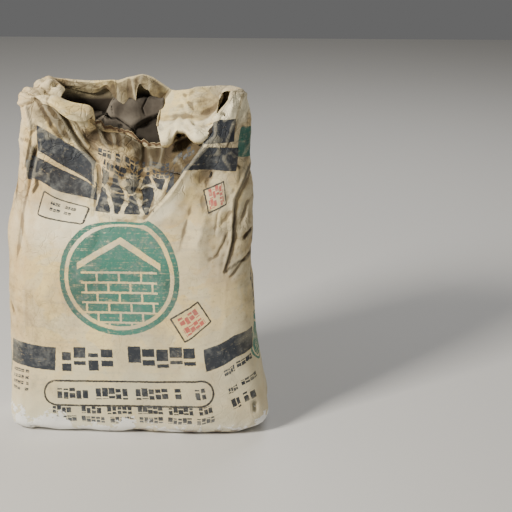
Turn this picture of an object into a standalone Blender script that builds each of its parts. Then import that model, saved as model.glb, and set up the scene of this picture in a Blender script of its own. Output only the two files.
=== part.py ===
"""An opened 50 kg cement sack of kraft paper, standing on its block bottom, with its cement.

The sack is one paper tube with a closed bottom. Its top has been torn off: above a ridge the
front wall falls back to a low torn edge, the back wall is folded over the mouth, and the left
end is cuffed.
Units are metres, +Z is up, the front face looks along -Y, and the origin is at the middle of
the bottom.
"""

import math

import bmesh
import bpy
import numpy as np

# The flat tube that the sack is made of
FACE_WIDTH = 0.430
GUSSET_WIDTH = 0.140
TUBE_ROUND = 2 * (FACE_WIDTH + GUSSET_WIDTH)
WALL = 0.0025

# The filled body: height, half width, half depth, squareness of its cross-section and middle x
BODY_STATIONS = (
    (0.000, 0.2340, 0.070, 6.0, -0.003),
    (0.040, 0.2390, 0.077, 5.5, -0.003),
    (0.090, 0.2320, 0.081, 5.0, -0.005),
    (0.160, 0.2250, 0.084, 4.2, -0.008),
    (0.240, 0.2190, 0.084, 4.0, -0.010),
    (0.330, 0.2120, 0.082, 3.8, -0.015),
    (0.430, 0.2140, 0.076, 3.6, -0.004),
    (0.500, 0.2100, 0.068, 3.4, 0.002),
    (0.560, 0.2000, 0.062, 3.2, 0.000),
    (0.640, 0.1920, 0.058, 3.0, 0.000),
)
BOTTOM_RADIUS = 0.020
LEAN_START = 0.34

# The ridge: the line up to which the wall stands, and above which its front falls back into the
# mouth, by place around the tube from the front's middle, then x, y and z
RIDGE_STATIONS = (
    (-0.570, 0.004, 0.069, 0.520),
    (-0.470, -0.095, 0.069, 0.520),
    (-0.380, -0.170, 0.052, 0.520),
    (-0.315, -0.198, 0.024, 0.520),
    (-0.265, -0.201, -0.012, 0.530),
    (-0.215, -0.183, -0.038, 0.555),
    (-0.165, -0.147, -0.046, 0.588),
    (-0.115, -0.107, -0.049, 0.566),
    (-0.080, -0.078, -0.055, 0.525),
    (-0.042, -0.040, -0.061, 0.496),
    (-0.004, -0.003, -0.066, 0.462),
    (0.030, 0.030, -0.071, 0.430),
    (0.048, 0.047, -0.071, 0.446),
    (0.085, 0.081, -0.066, 0.488),
    (0.115, 0.109, -0.058, 0.524),
    (0.140, 0.131, -0.047, 0.562),
    (0.170, 0.155, -0.038, 0.590),
    (0.215, 0.184, -0.020, 0.580),
    (0.255, 0.196, 0.002, 0.550),
    (0.300, 0.196, 0.028, 0.526),
    (0.360, 0.166, 0.054, 0.520),
    (0.450, 0.085, 0.067, 0.520),
)

# The rim: place around the tube, x, y and z of the fold or torn edge, then the length of paper
# beyond it and how far that paper is turned, inwards where positive and outwards where negative
RIM_STATIONS = (
    (-0.570, 0.004, 0.071, 0.632, 0.036, 150),
    (-0.520, -0.045, 0.072, 0.614, 0.040, 160),
    (-0.470, -0.085, 0.070, 0.614, 0.030, 160),
    (-0.420, -0.130, 0.063, 0.622, 0.028, 150),
    (-0.365, -0.166, 0.046, 0.626, 0.030, 150),
    (-0.315, -0.186, 0.020, 0.624, 0.034, 150),
    (-0.265, -0.192, -0.010, 0.612, 0.024, 120),
    (-0.215, -0.176, -0.034, 0.616, 0.014, 60),
    (-0.165, -0.148, -0.040, 0.618, 0.020, -120),
    (-0.120, -0.116, -0.034, 0.608, 0.024, -150),
    (-0.088, -0.090, -0.026, 0.598, 0.022, -150),
    (-0.066, -0.070, -0.020, 0.568, 0.006, 0),
    (-0.030, -0.030, -0.010, 0.550, 0.006, 0),
    (0.000, 0.002, -0.004, 0.532, 0.006, 0),
    (0.040, 0.038, 0.000, 0.521, 0.006, 0),
    (0.080, 0.078, 0.004, 0.514, 0.006, 0),
    (0.112, 0.108, -0.006, 0.520, 0.006, 0),
    (0.145, 0.136, -0.036, 0.582, 0.006, 0),
    (0.185, 0.168, -0.034, 0.622, 0.006, 0),
    (0.220, 0.188, -0.014, 0.622, 0.006, 0),
    (0.285, 0.192, 0.018, 0.606, 0.006, 20),
    (0.345, 0.174, 0.044, 0.612, 0.024, 90),
    (0.375, 0.150, 0.053, 0.614, 0.050, 122),
    (0.395, 0.134, 0.057, 0.614, 0.084, 128),
    (0.418, 0.114, 0.060, 0.614, 0.126, 130),
    (0.460, 0.078, 0.065, 0.606, 0.120, 131),
    (0.495, 0.052, 0.069, 0.600, 0.126, 133),
    (0.520, 0.038, 0.071, 0.604, 0.070, 142),
    (0.545, 0.022, 0.072, 0.620, 0.040, 150),
)
FOLD_RADIUS = 0.010
SHORTEST_FLAP = 0.005

# The cement: its highest level at the wall, and the caked lumps on top, each with its middle,
# its half length and half depth, and its rise
CEMENT_LEVEL = 0.490
CEMENT_BELOW_RIDGE = 0.022
CEMENT_GAP = 0.004
CEMENT_LUMPS = (
    (-0.042, 0.018, 0.052, 0.034, 0.073),
    (0.010, 0.036, 0.050, 0.036, 0.088),
    (0.040, 0.024, 0.034, 0.024, 0.046),
    (-0.115, 0.014, 0.056, 0.044, 0.040),
    (0.120, 0.014, 0.060, 0.044, 0.030),
)

# How finely the surfaces are divided, and the angle past which an edge is sharp
COLUMNS = 72
CORNER_ROWS = 4
BODY_ROWS = 6
SHOULDER_ROWS = 8
DENT_ROWS = 5
FLAP_ROWS = 6
FLAP_STEPS = 24
CEMENT_RINGS = 10
CEMENT_CLEAR_RINGS = 3
SHARP_ANGLE = math.radians(60)


def through(stations, column, at):
    """A smooth curve through one column of the stations, whose first column is the place."""
    place = np.array([row[0] for row in stations])
    value = np.array([row[column] for row in stations], float)
    slope = np.gradient(value, place)
    i = np.clip(np.searchsorted(place, at, side="right") - 1, 0, len(place) - 2)
    span = place[i + 1] - place[i]
    t = np.clip((at - place[i]) / span, 0.0, 1.0)
    return (
        value[i] * (1 + 2 * t) * (1 - t) ** 2
        + slope[i] * span * t * (1 - t) ** 2
        + value[i + 1] * t * t * (3 - 2 * t)
        + slope[i + 1] * span * t * t * (t - 1)
    )


def around(stations, column, at):
    """A column of the stations as a smooth curve that closes on itself around the tube."""
    laps = [(row[0] + turn * TUBE_ROUND, *row[1:]) for turn in (-1, 0, 1) for row in stations]
    return through(laps, column, at)


def body_section(at, height):
    """The filled body's outline at a height: a box with rounded corners, by the place around it."""
    half_face = FACE_WIDTH / 2
    half_round = TUBE_ROUND / 2
    side = np.sign(at)
    reach = np.abs(at)
    across = np.where(
        reach < half_face,
        reach / half_face,
        np.where(reach > half_face + GUSSET_WIDTH, (half_round - reach) / half_face, 1.0),
    )
    deep = np.clip((reach - half_face) / GUSSET_WIDTH, 0, 1) * 2 - 1
    square = through(BODY_STATIONS, 3, height)
    shrink = (np.abs(across) ** square + np.abs(deep) ** square) ** (-1 / square)
    rise = np.clip(height / BOTTOM_RADIUS, 0, 1)
    tuck = BOTTOM_RADIUS * (1 - np.sqrt(1 - (1 - rise) ** 2))
    x = side * across * shrink * (through(BODY_STATIONS, 1, height) - tuck)
    y = deep * shrink * (through(BODY_STATIONS, 2, height) - tuck)
    return x + through(BODY_STATIONS, 4, height), y


def wall_points(at, height):
    """Points of the wall's outside up to the ridge, at a height for each place around it."""
    x, y = body_section(at, height)
    lean = np.clip((height - LEAN_START) / (around(RIDGE_STATIONS, 3, at) - LEAN_START), 0, 1)
    lean = lean * lean * (3 - 2 * lean)
    x = x * (1 - lean) + around(RIDGE_STATIONS, 1, at) * lean
    y = y * (1 - lean) + around(RIDGE_STATIONS, 2, at) * lean
    return np.stack([x, y, height], axis=-1)


def line_points(stations, at):
    """The points of a closed line around the tube, such as the ridge or the rim."""
    return np.stack([around(stations, column, at) for column in (1, 2, 3)], axis=-1)


def inward(ring):
    """The level direction into the tube at each point of a closed ring of points."""
    along = np.roll(ring, -1, axis=0) - np.roll(ring, 1, axis=0)
    across = np.stack([-along[:, 1], along[:, 0], np.zeros(len(ring))], axis=-1)
    return across / np.linalg.norm(across, axis=-1, keepdims=True)


def outward(rings):
    """The direction square to the wall at each point of its rings, pointing out of the tube."""
    along = np.roll(rings, -1, axis=1) - np.roll(rings, 1, axis=1)
    across = np.cross(along, np.gradient(rings, axis=0))
    return across / np.linalg.norm(across, axis=-1, keepdims=True)


def flap_points(at, rim):
    """Rows of points for the paper beyond the rim, which bends over a small radius and runs on."""
    length = np.maximum(around(RIM_STATIONS, 4, at), SHORTEST_FLAP)
    turn = np.radians(around(RIM_STATIONS, 5, at))
    side = inward(rim) * np.sign(turn)[:, None]
    turn = np.abs(turn)
    rows = []
    point = rim.copy()
    for step in range(FLAP_STEPS):
        far = (step + 0.5) / FLAP_STEPS * length
        bend = np.minimum(far / FOLD_RADIUS, turn)
        away = np.sin(bend)[:, None] * side + np.cos(bend)[:, None] * np.array([0.0, 0.0, 1.0])
        point = point + away * (length / FLAP_STEPS)[:, None]
        if (step + 1) % (FLAP_STEPS // FLAP_ROWS) == 0:
            rows.append(point.copy())
    return rows


def place_mesh(name, rings, floor_cap, top_cap=None):
    """An object from rings of points, closed below, and above where a middle point is given."""
    bm = bmesh.new()
    made = [[bm.verts.new(point) for point in ring] for ring in rings]
    for low, high in zip(made, made[1:]):
        for i in range(len(low)):
            j = (i + 1) % len(low)
            bm.faces.new((low[i], low[j], high[j], high[i]))
    if floor_cap:
        bm.faces.new(list(reversed(made[0])))
    if top_cap is not None:
        middle = bm.verts.new(top_cap)
        for i in range(len(made[-1])):
            bm.faces.new((made[-1][i], made[-1][(i + 1) % len(made[-1])], middle))
    bmesh.ops.recalc_face_normals(bm, faces=bm.faces)
    mesh = bpy.data.meshes.new(name)
    bm.to_mesh(mesh)
    bm.free()
    mesh.shade_smooth()
    mesh.set_sharp_from_angle(angle=SHARP_ANGLE)
    made_object = bpy.data.objects.new(name, mesh)
    bpy.context.scene.collection.objects.link(made_object)
    return made_object


def surface(name, colour, roughness):
    """A plain material of one colour."""
    material = bpy.data.materials.new(name)
    material.use_nodes = True
    shader = material.node_tree.nodes["Principled BSDF"]
    shader.inputs["Base Color"].default_value = (*colour, 1.0)
    shader.inputs["Roughness"].default_value = roughness
    shader.inputs["Metallic"].default_value = 0.0
    return material


def standing_rings(at, top):
    """Rings of points from the flat bottom, round its edge and up the wall to the top's heights."""
    heights = [
        np.full_like(at, BOTTOM_RADIUS * (1 - math.cos(math.pi / 2 * row / CORNER_ROWS)))
        for row in range(CORNER_ROWS)
    ]
    heights += [
        np.full_like(at, BOTTOM_RADIUS + (LEAN_START - BOTTOM_RADIUS) * row / BODY_ROWS)
        for row in range(BODY_ROWS)
    ]
    heights += [
        LEAN_START + (top - LEAN_START) * row / SHOULDER_ROWS for row in range(SHOULDER_ROWS + 1)
    ]
    return [wall_points(at, height) for height in heights]


def sack_rings(at):
    """Rings of points of the whole paper: up to the ridge, on to the rim, and over it."""
    rings = standing_rings(at, around(RIDGE_STATIONS, 3, at))
    ridge = rings[-1]
    rim = line_points(RIM_STATIONS, at)
    rings += [ridge + (rim - ridge) * row / DENT_ROWS for row in range(1, DENT_ROWS + 1)]
    return rings + flap_points(at, rim)


def paper_sack(at, middle):
    """The paper tube with its closed bottom and its folded and torn rim, one wall thick."""
    sack = place_mesh("paper_sack", [ring - middle for ring in sack_rings(at)], floor_cap=True)
    solidify = sack.modifiers.new("wall", "SOLIDIFY")
    solidify.thickness = WALL
    solidify.offset = -1.0
    return sack


def cement_rise(x, y):
    """How far the caked lumps rise above the cement's level, which is the highest one's rise."""
    rise = np.zeros_like(x)
    for lump_x, lump_y, half_length, half_depth, top in CEMENT_LUMPS:
        far = np.hypot((x - lump_x) / half_length, (y - lump_y) / half_depth)
        rise = np.maximum(rise, top * (1 - far**2))
    return rise


def cement_fill(at, middle):
    """The cement, which fills the sack from its floor up to the caked top."""
    level = np.minimum(CEMENT_LEVEL, around(RIDGE_STATIONS, 3, at) - CEMENT_BELOW_RIDGE)
    outside = np.array(standing_rings(at, level))
    inside_wall = outside - outward(outside) * (WALL + CEMENT_GAP)
    inside_wall[0, :, 2] = WALL + CEMENT_GAP
    rings = list(inside_wall)
    edge = rings[-1]
    centre = edge.mean(axis=0)
    for ring in range(1, CEMENT_RINGS):
        inside = centre + (edge - centre) * (1 - ring / CEMENT_RINGS)
        clear_of_wall = min(1.0, ring / CEMENT_CLEAR_RINGS)
        inside[:, 2] += clear_of_wall * cement_rise(inside[:, 0], inside[:, 1])
        rings.append(inside)
    top = centre.copy()
    top[2] += cement_rise(centre[:1], centre[1:2])[0]
    return place_mesh(
        "cement_fill", [ring - middle for ring in rings], floor_cap=True, top_cap=top - middle
    )


def main():
    for old in list(bpy.data.objects):
        bpy.data.objects.remove(old)
    at = (np.arange(COLUMNS) / COLUMNS - 0.5) * TUBE_ROUND
    outside = np.concatenate(sack_rings(at))
    middle = (outside.min(axis=0) + outside.max(axis=0)) / 2
    middle[2] = 0.0
    sack = paper_sack(at, middle)
    sack.data.materials.append(surface("kraft_paper", (0.56, 0.45, 0.31), 0.85))
    cement = cement_fill(at, middle)
    cement.data.materials.append(surface("cement", (0.27, 0.25, 0.24), 0.95))


main()
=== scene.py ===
# An opened cement sack of kraft paper: a crumpled paper shell, its printing, and the cement in it.
# Lengths are metres, or millimetres where a comment says so. The sack's main shape follows the same
# formulas as the part's own source, on a finer grid.
import math

import bpy
import numpy as np
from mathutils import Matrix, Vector


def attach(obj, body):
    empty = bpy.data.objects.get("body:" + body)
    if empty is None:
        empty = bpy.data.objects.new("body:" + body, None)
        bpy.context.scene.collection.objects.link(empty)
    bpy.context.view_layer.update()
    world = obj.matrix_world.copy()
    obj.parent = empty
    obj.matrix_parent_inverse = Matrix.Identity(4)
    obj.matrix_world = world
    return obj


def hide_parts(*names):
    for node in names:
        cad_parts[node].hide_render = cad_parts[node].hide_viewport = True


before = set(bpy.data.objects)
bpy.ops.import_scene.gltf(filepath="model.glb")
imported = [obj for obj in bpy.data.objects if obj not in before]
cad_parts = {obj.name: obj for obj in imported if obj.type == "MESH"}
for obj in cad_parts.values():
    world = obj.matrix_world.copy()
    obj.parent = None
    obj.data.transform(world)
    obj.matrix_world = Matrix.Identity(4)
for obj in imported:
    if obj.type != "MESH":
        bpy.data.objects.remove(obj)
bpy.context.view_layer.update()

# The sack's macro shape
sackShape = {
    "faceWidth": 0.430,
    "gussetWidth": 0.140,
    "bottomRadius": 0.020,
    "leanStart": 0.34,
    "middle": (-0.003, 0.0, 0.0),  # the middle of the footprint, which goes to the frame's origin
    "foldRise": 0.022,  # how strongly the paper still rises where it starts to fold over the rim
    # padded stretches of the folded paper: place around the tube, half width, start and end of the
    # stretch along the paper, height
    "pillows": (
        (0.484, 0.017, 0.50, 1.00, 0.010),
        (0.422, 0.018, 0.50, 1.00, 0.009),
        (0.455, 0.055, 0.46, 0.96, 0.008),
        (-0.330, 0.060, 0.15, 1.08, 0.009),
        (-0.128, 0.040, 0.20, 1.04, 0.006),
    ),
    "pillowSide": (0.13, -0.91, 0.39),  # they swell this way
    # height, half width, half depth, squareness of the section, middle x
    "body": (
        (0.000, 0.2295, 0.070, 6.0, -0.0070),
        (0.040, 0.2345, 0.077, 5.5, -0.0070),
        (0.090, 0.2275, 0.081, 5.0, -0.0095),
        (0.160, 0.2195, 0.084, 4.2, -0.0135),
        (0.240, 0.2162, 0.084, 4.0, -0.0128),
        (0.330, 0.2118, 0.082, 3.8, -0.0140),
        (0.430, 0.2190, 0.076, 3.6, -0.0090),
        (0.500, 0.2130, 0.068, 3.4, -0.0010),
        (0.560, 0.2000, 0.062, 3.2, 0.000),
        (0.640, 0.1920, 0.058, 3.0, 0.000),
    ),
    # place around the tube, x, y, z of the line up to which the wall stands
    "ridge": (
        (-0.570, 0.004, 0.069, 0.520),
        (-0.470, -0.095, 0.069, 0.520),
        (-0.380, -0.170, 0.052, 0.520),
        (-0.315, -0.200, 0.024, 0.520),
        (-0.265, -0.202, -0.012, 0.530),
        (-0.215, -0.184, -0.038, 0.555),
        (-0.165, -0.147, -0.046, 0.588),
        (-0.115, -0.107, -0.045, 0.560),
        (-0.080, -0.078, -0.049, 0.520),
        (-0.042, -0.040, -0.061, 0.496),
        (-0.004, -0.003, -0.066, 0.462),
        (0.030, 0.030, -0.071, 0.430),
        (0.048, 0.047, -0.071, 0.446),
        (0.085, 0.081, -0.066, 0.488),
        (0.115, 0.109, -0.058, 0.524),
        (0.140, 0.131, -0.047, 0.562),
        (0.170, 0.155, -0.038, 0.590),
        (0.215, 0.180, -0.020, 0.580),
        (0.255, 0.190, 0.002, 0.550),
        (0.300, 0.190, 0.028, 0.526),
        (0.360, 0.166, 0.054, 0.520),
        (0.450, 0.085, 0.067, 0.520),
    ),
    # the mouth: place around the tube, the paper's own height at the rim, then x, y, z of the rim and
    # of the middle and the end of the paper that is folded over it
    "mouth": (
        (-0.570, 0.640, 0.006, 0.071, 0.631, 0.005, 0.058, 0.630, 0.004, 0.051, 0.621),
        (-0.562, 0.639, -0.002, 0.071, 0.630, -0.002, 0.056, 0.624, -0.002, 0.046, 0.610),
        (-0.553, 0.638, -0.011, 0.071, 0.628, -0.008, 0.048, 0.617, -0.002, 0.038, 0.593),
        (-0.544, 0.636, -0.020, 0.071, 0.626, -0.016, 0.057, 0.619, -0.013, 0.044, 0.597),
        (-0.533, 0.632, -0.030, 0.071, 0.623, -0.026, 0.048, 0.612, -0.022, 0.036, 0.588),
        (-0.523, 0.629, -0.038, 0.070, 0.621, -0.034, 0.044, 0.610, -0.033, 0.032, 0.585),
        (-0.514, 0.628, -0.047, 0.070, 0.621, -0.045, 0.056, 0.617, -0.043, 0.046, 0.599),
        (-0.504, 0.626, -0.056, 0.068, 0.621, -0.056, 0.056, 0.618, -0.057, 0.057, 0.610),
        (-0.490, 0.626, -0.069, 0.067, 0.621, -0.070, 0.054, 0.613, -0.070, 0.056, 0.603),
        (-0.480, 0.626, -0.078, 0.066, 0.621, -0.079, 0.053, 0.612, -0.080, 0.055, 0.601),
        (-0.455, 0.628, -0.100, 0.064, 0.622, -0.100, 0.053, 0.614, -0.100, 0.057, 0.604),
        (-0.425, 0.632, -0.124, 0.060, 0.624, -0.124, 0.052, 0.619, -0.126, 0.056, 0.610),
        (-0.400, 0.636, -0.143, 0.056, 0.626, -0.140, 0.046, 0.624, -0.136, 0.042, 0.616),
        (-0.375, 0.638, -0.153, 0.048, 0.627, -0.144, 0.032, 0.628, -0.126, 0.022, 0.616),
        (-0.345, 0.636, -0.160, 0.036, 0.624, -0.147, 0.022, 0.629, -0.122, 0.012, 0.612),
        (-0.315, 0.634, -0.169, 0.022, 0.623, -0.150, 0.010, 0.627, -0.123, 0.002, 0.608),
        (-0.285, 0.630, -0.178, 0.006, 0.620, -0.155, -0.002, 0.622, -0.130, -0.006, 0.602),
        (-0.258, 0.622, -0.185, -0.008, 0.617, -0.164, -0.014, 0.616, -0.144, -0.016, 0.604),
        (-0.232, 0.620, -0.186, -0.020, 0.610, -0.172, -0.020, 0.610, -0.158, -0.020, 0.602),
        (-0.208, 0.622, -0.176, -0.032, 0.610, -0.166, -0.026, 0.612, -0.156, -0.022, 0.604),
        (-0.185, 0.626, -0.158, -0.040, 0.614, -0.152, -0.046, 0.614, -0.146, -0.051, 0.607),
        (-0.160, 0.630, -0.134, -0.040, 0.617, -0.132, -0.051, 0.613, -0.130, -0.054, 0.603),
        (-0.137, 0.634, -0.112, -0.038, 0.610, -0.112, -0.052, 0.603, -0.114, -0.056, 0.590),
        (-0.115, 0.640, -0.092, -0.035, 0.605, -0.093, -0.050, 0.596, -0.096, -0.054, 0.579),
        (-0.098, 0.646, -0.077, -0.031, 0.601, -0.076, -0.046, 0.592, -0.081, -0.050, 0.577),
        (-0.089, 0.648, -0.069, -0.028, 0.596, -0.066, -0.040, 0.588, -0.071, -0.043, 0.578),
        (-0.083, 0.648, -0.067, -0.024, 0.578, -0.067, -0.024, 0.577, -0.068, -0.023, 0.574),
        (-0.074, 0.650, -0.066, -0.018, 0.561, -0.066, -0.018, 0.565, -0.066, -0.017, 0.569),
        (-0.050, 0.651, -0.048, -0.012, 0.549, -0.048, -0.012, 0.554, -0.048, -0.011, 0.559),
        (-0.028, 0.652, -0.028, -0.006, 0.546, -0.028, -0.006, 0.551, -0.028, -0.005, 0.556),
        (-0.006, 0.652, -0.007, -0.002, 0.535, -0.007, -0.002, 0.540, -0.007, -0.001, 0.545),
        (0.014, 0.652, 0.011, 0.000, 0.522, 0.011, 0.000, 0.527, 0.011, 0.001, 0.532),
        (0.045, 0.652, 0.040, 0.002, 0.518, 0.040, 0.002, 0.523, 0.040, 0.003, 0.528),
        (0.062, 0.652, 0.057, 0.004, 0.522, 0.057, 0.004, 0.527, 0.057, 0.005, 0.532),
        (0.082, 0.652, 0.076, 0.004, 0.532, 0.076, 0.004, 0.536, 0.076, 0.005, 0.540),
        (0.104, 0.650, 0.098, 0.000, 0.542, 0.098, 0.000, 0.545, 0.098, 0.001, 0.548),
        (0.126, 0.644, 0.120, -0.014, 0.556, 0.120, -0.014, 0.559, 0.120, -0.013, 0.562),
        (0.142, 0.638, 0.136, -0.034, 0.572, 0.136, -0.032, 0.575, 0.137, -0.028, 0.577),
        (0.154, 0.634, 0.147, -0.040, 0.591, 0.149, -0.031, 0.592, 0.150, -0.024, 0.584),
        (0.172, 0.630, 0.163, -0.036, 0.609, 0.164, -0.026, 0.609, 0.164, -0.018, 0.599),
        (0.190, 0.630, 0.168, -0.031, 0.620, 0.167, -0.025, 0.622, 0.166, -0.018, 0.612),
        (0.215, 0.628, 0.178, -0.018, 0.621, 0.176, -0.012, 0.621, 0.174, -0.006, 0.612),
        (0.245, 0.622, 0.185, -0.006, 0.618, 0.182, -0.002, 0.618, 0.179, 0.002, 0.610),
        (0.285, 0.614, 0.187, 0.012, 0.611, 0.182, 0.011, 0.612, 0.176, 0.010, 0.607),
        (0.320, 0.618, 0.182, 0.024, 0.617, 0.178, 0.018, 0.619, 0.171, 0.014, 0.614),
        (0.345, 0.620, 0.171, 0.034, 0.618, 0.165, 0.024, 0.621, 0.158, 0.018, 0.616),
        (0.360, 0.622, 0.159, 0.041, 0.617, 0.153, 0.027, 0.618, 0.147, 0.018, 0.610),
        (0.372, 0.622, 0.149, 0.047, 0.616, 0.147, 0.025, 0.610, 0.143, 0.002, 0.600),
        (0.382, 0.622, 0.139, 0.051, 0.615, 0.144, 0.016, 0.597, 0.141, -0.028, 0.583),
        (0.394, 0.622, 0.128, 0.054, 0.614, 0.134, 0.008, 0.582, 0.138, -0.038, 0.567),
        (0.408, 0.621, 0.117, 0.057, 0.613, 0.122, 0.002, 0.573, 0.127, -0.040, 0.543),
        (0.418, 0.620, 0.107, 0.059, 0.612, 0.112, -0.002, 0.571, 0.118, -0.042, 0.538),
        (0.428, 0.619, 0.100, 0.061, 0.611, 0.104, -0.003, 0.571, 0.108, -0.040, 0.537),
        (0.438, 0.618, 0.094, 0.063, 0.609, 0.096, -0.001, 0.571, 0.099, -0.034, 0.541),
        (0.450, 0.617, 0.087, 0.064, 0.608, 0.087, 0.003, 0.571, 0.086, -0.024, 0.550),
        (0.462, 0.616, 0.080, 0.066, 0.607, 0.077, 0.006, 0.571, 0.075, -0.022, 0.550),
        (0.472, 0.615, 0.074, 0.067, 0.606, 0.068, 0.008, 0.569, 0.065, -0.024, 0.532),
        (0.482, 0.615, 0.069, 0.068, 0.605, 0.059, 0.009, 0.568, 0.058, -0.025, 0.527),
        (0.490, 0.614, 0.064, 0.069, 0.604, 0.049, 0.011, 0.567, 0.048, -0.022, 0.526),
        (0.498, 0.613, 0.060, 0.070, 0.604, 0.041, 0.014, 0.567, 0.045, -0.016, 0.538),
        (0.503, 0.613, 0.058, 0.071, 0.604, 0.037, 0.018, 0.568, 0.043, -0.008, 0.546),
        (0.511, 0.614, 0.054, 0.071, 0.606, 0.047, 0.060, 0.600, 0.040, 0.052, 0.590),
        (0.522, 0.618, 0.046, 0.071, 0.612, 0.041, 0.057, 0.606, 0.035, 0.051, 0.596),
        (0.534, 0.624, 0.035, 0.071, 0.619, 0.030, 0.054, 0.612, 0.025, 0.048, 0.600),
        (0.546, 0.632, 0.025, 0.071, 0.625, 0.022, 0.054, 0.620, 0.018, 0.047, 0.610),
        (0.557, 0.638, 0.016, 0.071, 0.629, 0.014, 0.055, 0.624, 0.012, 0.048, 0.612),
    ),
    # how far the paper has sunk into wrinkles at the front: place around the tube and length
    "sag": (
        (-0.240, 0.000),
        (-0.185, 0.005),
        (-0.130, 0.028),
        (-0.080, 0.049),
        (-0.020, 0.082),
        (0.030, 0.088),
        (0.070, 0.070),
        (0.120, 0.040),
        (0.150, 0.020),
        (0.240, 0.000),
    ),
    "sagStart": 0.398,
    "sagFull": 0.458,
    "sagPower": 1.2,
    # the fold behind which the right panel hides the sunken paper: place around the tube by height
    "sagFoldHeights": (0.380, 0.405, 0.432, 0.463, 0.498, 0.535, 0.592),
    "sagFoldPlaces": (0.000, 0.018, 0.042, 0.068, 0.091, 0.124, 0.146),
    # the paper pulled up at the right of the foot: where it starts, its slope and how that grows,
    # and the heights between which it fades out
    "pullStart": 0.112,
    "pullSlope": 0.26,
    "pullGrowth": 0.4,
    "pullFade": (0.20, 0.32),
    "pullReach": 0.14,
    "pullEnd": 0.40,
    "sagFoldBlend": 0.006,
    # A stretch around the tube has its start and the span it grows over, its end and its span there
    "tear": (-0.085, 0.01, 0.130, 0.01),
    "teeth": ((0.0050, 0.008, 21), (0.0035, 0.0045, 22)),  # height, cell and seed of the torn edge
    "teethLeast": -0.005,
    "scrap": (-0.060, 0.007, 0.005),  # place, half width and height of one longer tooth
    # the flap's end, which curls: where, how much less it runs on, and which way it turns
    "curl": (0.385, 0.02, 0.508, 0.01),
    "curlSlowing": 0.4,
    "curlTurn": (0.0, 0.11, -0.03),
    "foldedBy": 0.1,  # share of the folded paper on which it takes over from the wall
    # the foot's edge off the floor: how far in places, cell, seed and level of the noise that picks
    # them, and up to what height it acts
    "footLift": (0.004, 0.045, 41, 0.2, 0.030),
    # the same at the right corner: how far, from what x, over what span, and up to what height
    "cornerLift": (0.008, 0.165, 0.06, 0.045),
}
tubeRound = 2 * (sackShape["faceWidth"] + sackShape["gussetWidth"])
halfFace = sackShape["faceWidth"] / 2
gussetMiddle = halfFace + sackShape["gussetWidth"] / 2

sackGrid = {
    "frontReach": 0.30,  # the fine columns run this far to each side of the front's middle
    "frontStep": 0.0032,
    "flapFrom": 0.34,
    "flapTo": 0.64,
    "flapStep": 0.0030,
    "sideStep": 0.0050,
    "cornerRows": 5,
    "bodyRows": 64,
    "leanRows": 54,
    "dentRows": 28,
    "flapRows": 38,
    "floorRings": 6,
    "innerRows": 92,  # rows of the inside that show, from the rim down
    "hiddenRows": 5,
    "columnSamples": 4001,
    "wall": 0.0008,
    # the hidden rows run down from the inside wall, drawn in, to just above the floor
    "hiddenTop": (0.94, 0.86, 1.0),
    "hiddenEnd": (0.93, 0.80, 0.0),
    "hiddenFloor": 0.004,
    "creaseSteps": 2,  # how far round a point its neighbours count, for fine and broad relief
    "broadSteps": 7,
    "coarseStep": 0.004,  # columns further apart than this show their creases less
    "coarseShare": 0.45,
}


# A share that grows from 0 at a start to 1 over a span, or falls where the span is negative
def ramp(values, start, span):
    return np.clip((values - start) / span, 0, 1)


# The same as a smooth step
def smoothRamp(values, start, span):
    share = ramp(values, start, span)
    return share * share * (3 - 2 * share)


# 1 between two places, with a ramp at each of them
def between(values, low, lowSpan, high, highSpan):
    return ramp(values, low, lowSpan) * ramp(values, high, -highSpan)


# 1 at a middle, falling straight to both sides, with a flat top where firm is over 1
def tent(values, middle, reach, firm=1.0):
    return np.clip(firm - np.abs(values - middle) / reach, 0, 1)


# A soft round spot, 0 at its half sizes, with a flat top where firm is over 1
def roundSpot(x, z, middleX, middleZ, halfX, halfZ, firm):
    return np.clip(firm - firm * np.hypot((x - middleX) / halfX, (z - middleZ) / halfZ), 0, 1)


# The cubic curve from one value or point to another that leaves and arrives with given slopes
def hermite(start, startSlope, stop, stopSlope, t):
    return (
        start * (1 + 2 * t) * (1 - t) ** 2
        + startSlope * t * (1 - t) ** 2
        + stop * t * t * (3 - 2 * t)
        + stopSlope * t * t * (t - 1)
    )


# A smooth curve through one column of the stations: cubic pieces whose slopes at the stations
# are the mean of the slopes to their neighbours, or with calm set, the harmonic mean, which never
# overshoots a station.
def through(stations, column, at, calm=False):
    place = np.array([row[0] for row in stations])
    value = np.array([row[column] for row in stations], float)
    slope = np.gradient(value, place)
    if calm:
        steep = np.diff(value) / np.diff(place)
        before, after = steep[:-1], steep[1:]
        turning = before * after <= 0
        total = np.where(turning, 1.0, before + after)
        slope = np.concatenate([steep[:1], np.where(turning, 0.0, 2 * before * after / total), steep[-1:]])
    i = np.clip(np.searchsorted(place, at, side="right") - 1, 0, len(place) - 2)
    span = place[i + 1] - place[i]
    t = np.clip((at - place[i]) / span, 0.0, 1.0)
    return hermite(value[i], slope[i] * span, value[i + 1], slope[i + 1] * span, t)


# The same, closed on itself around the tube
def aroundTube(stations, column, at, calm=False):
    laps = [(row[0] + turn * tubeRound, *row[1:]) for turn in (-1, 0, 1) for row in stations]
    return through(laps, column, at, calm)


# Places around the tube counted from the front's middle to both sides
def fromFront(places):
    return np.where(places > tubeRound / 2, places - tubeRound, places)


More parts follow.
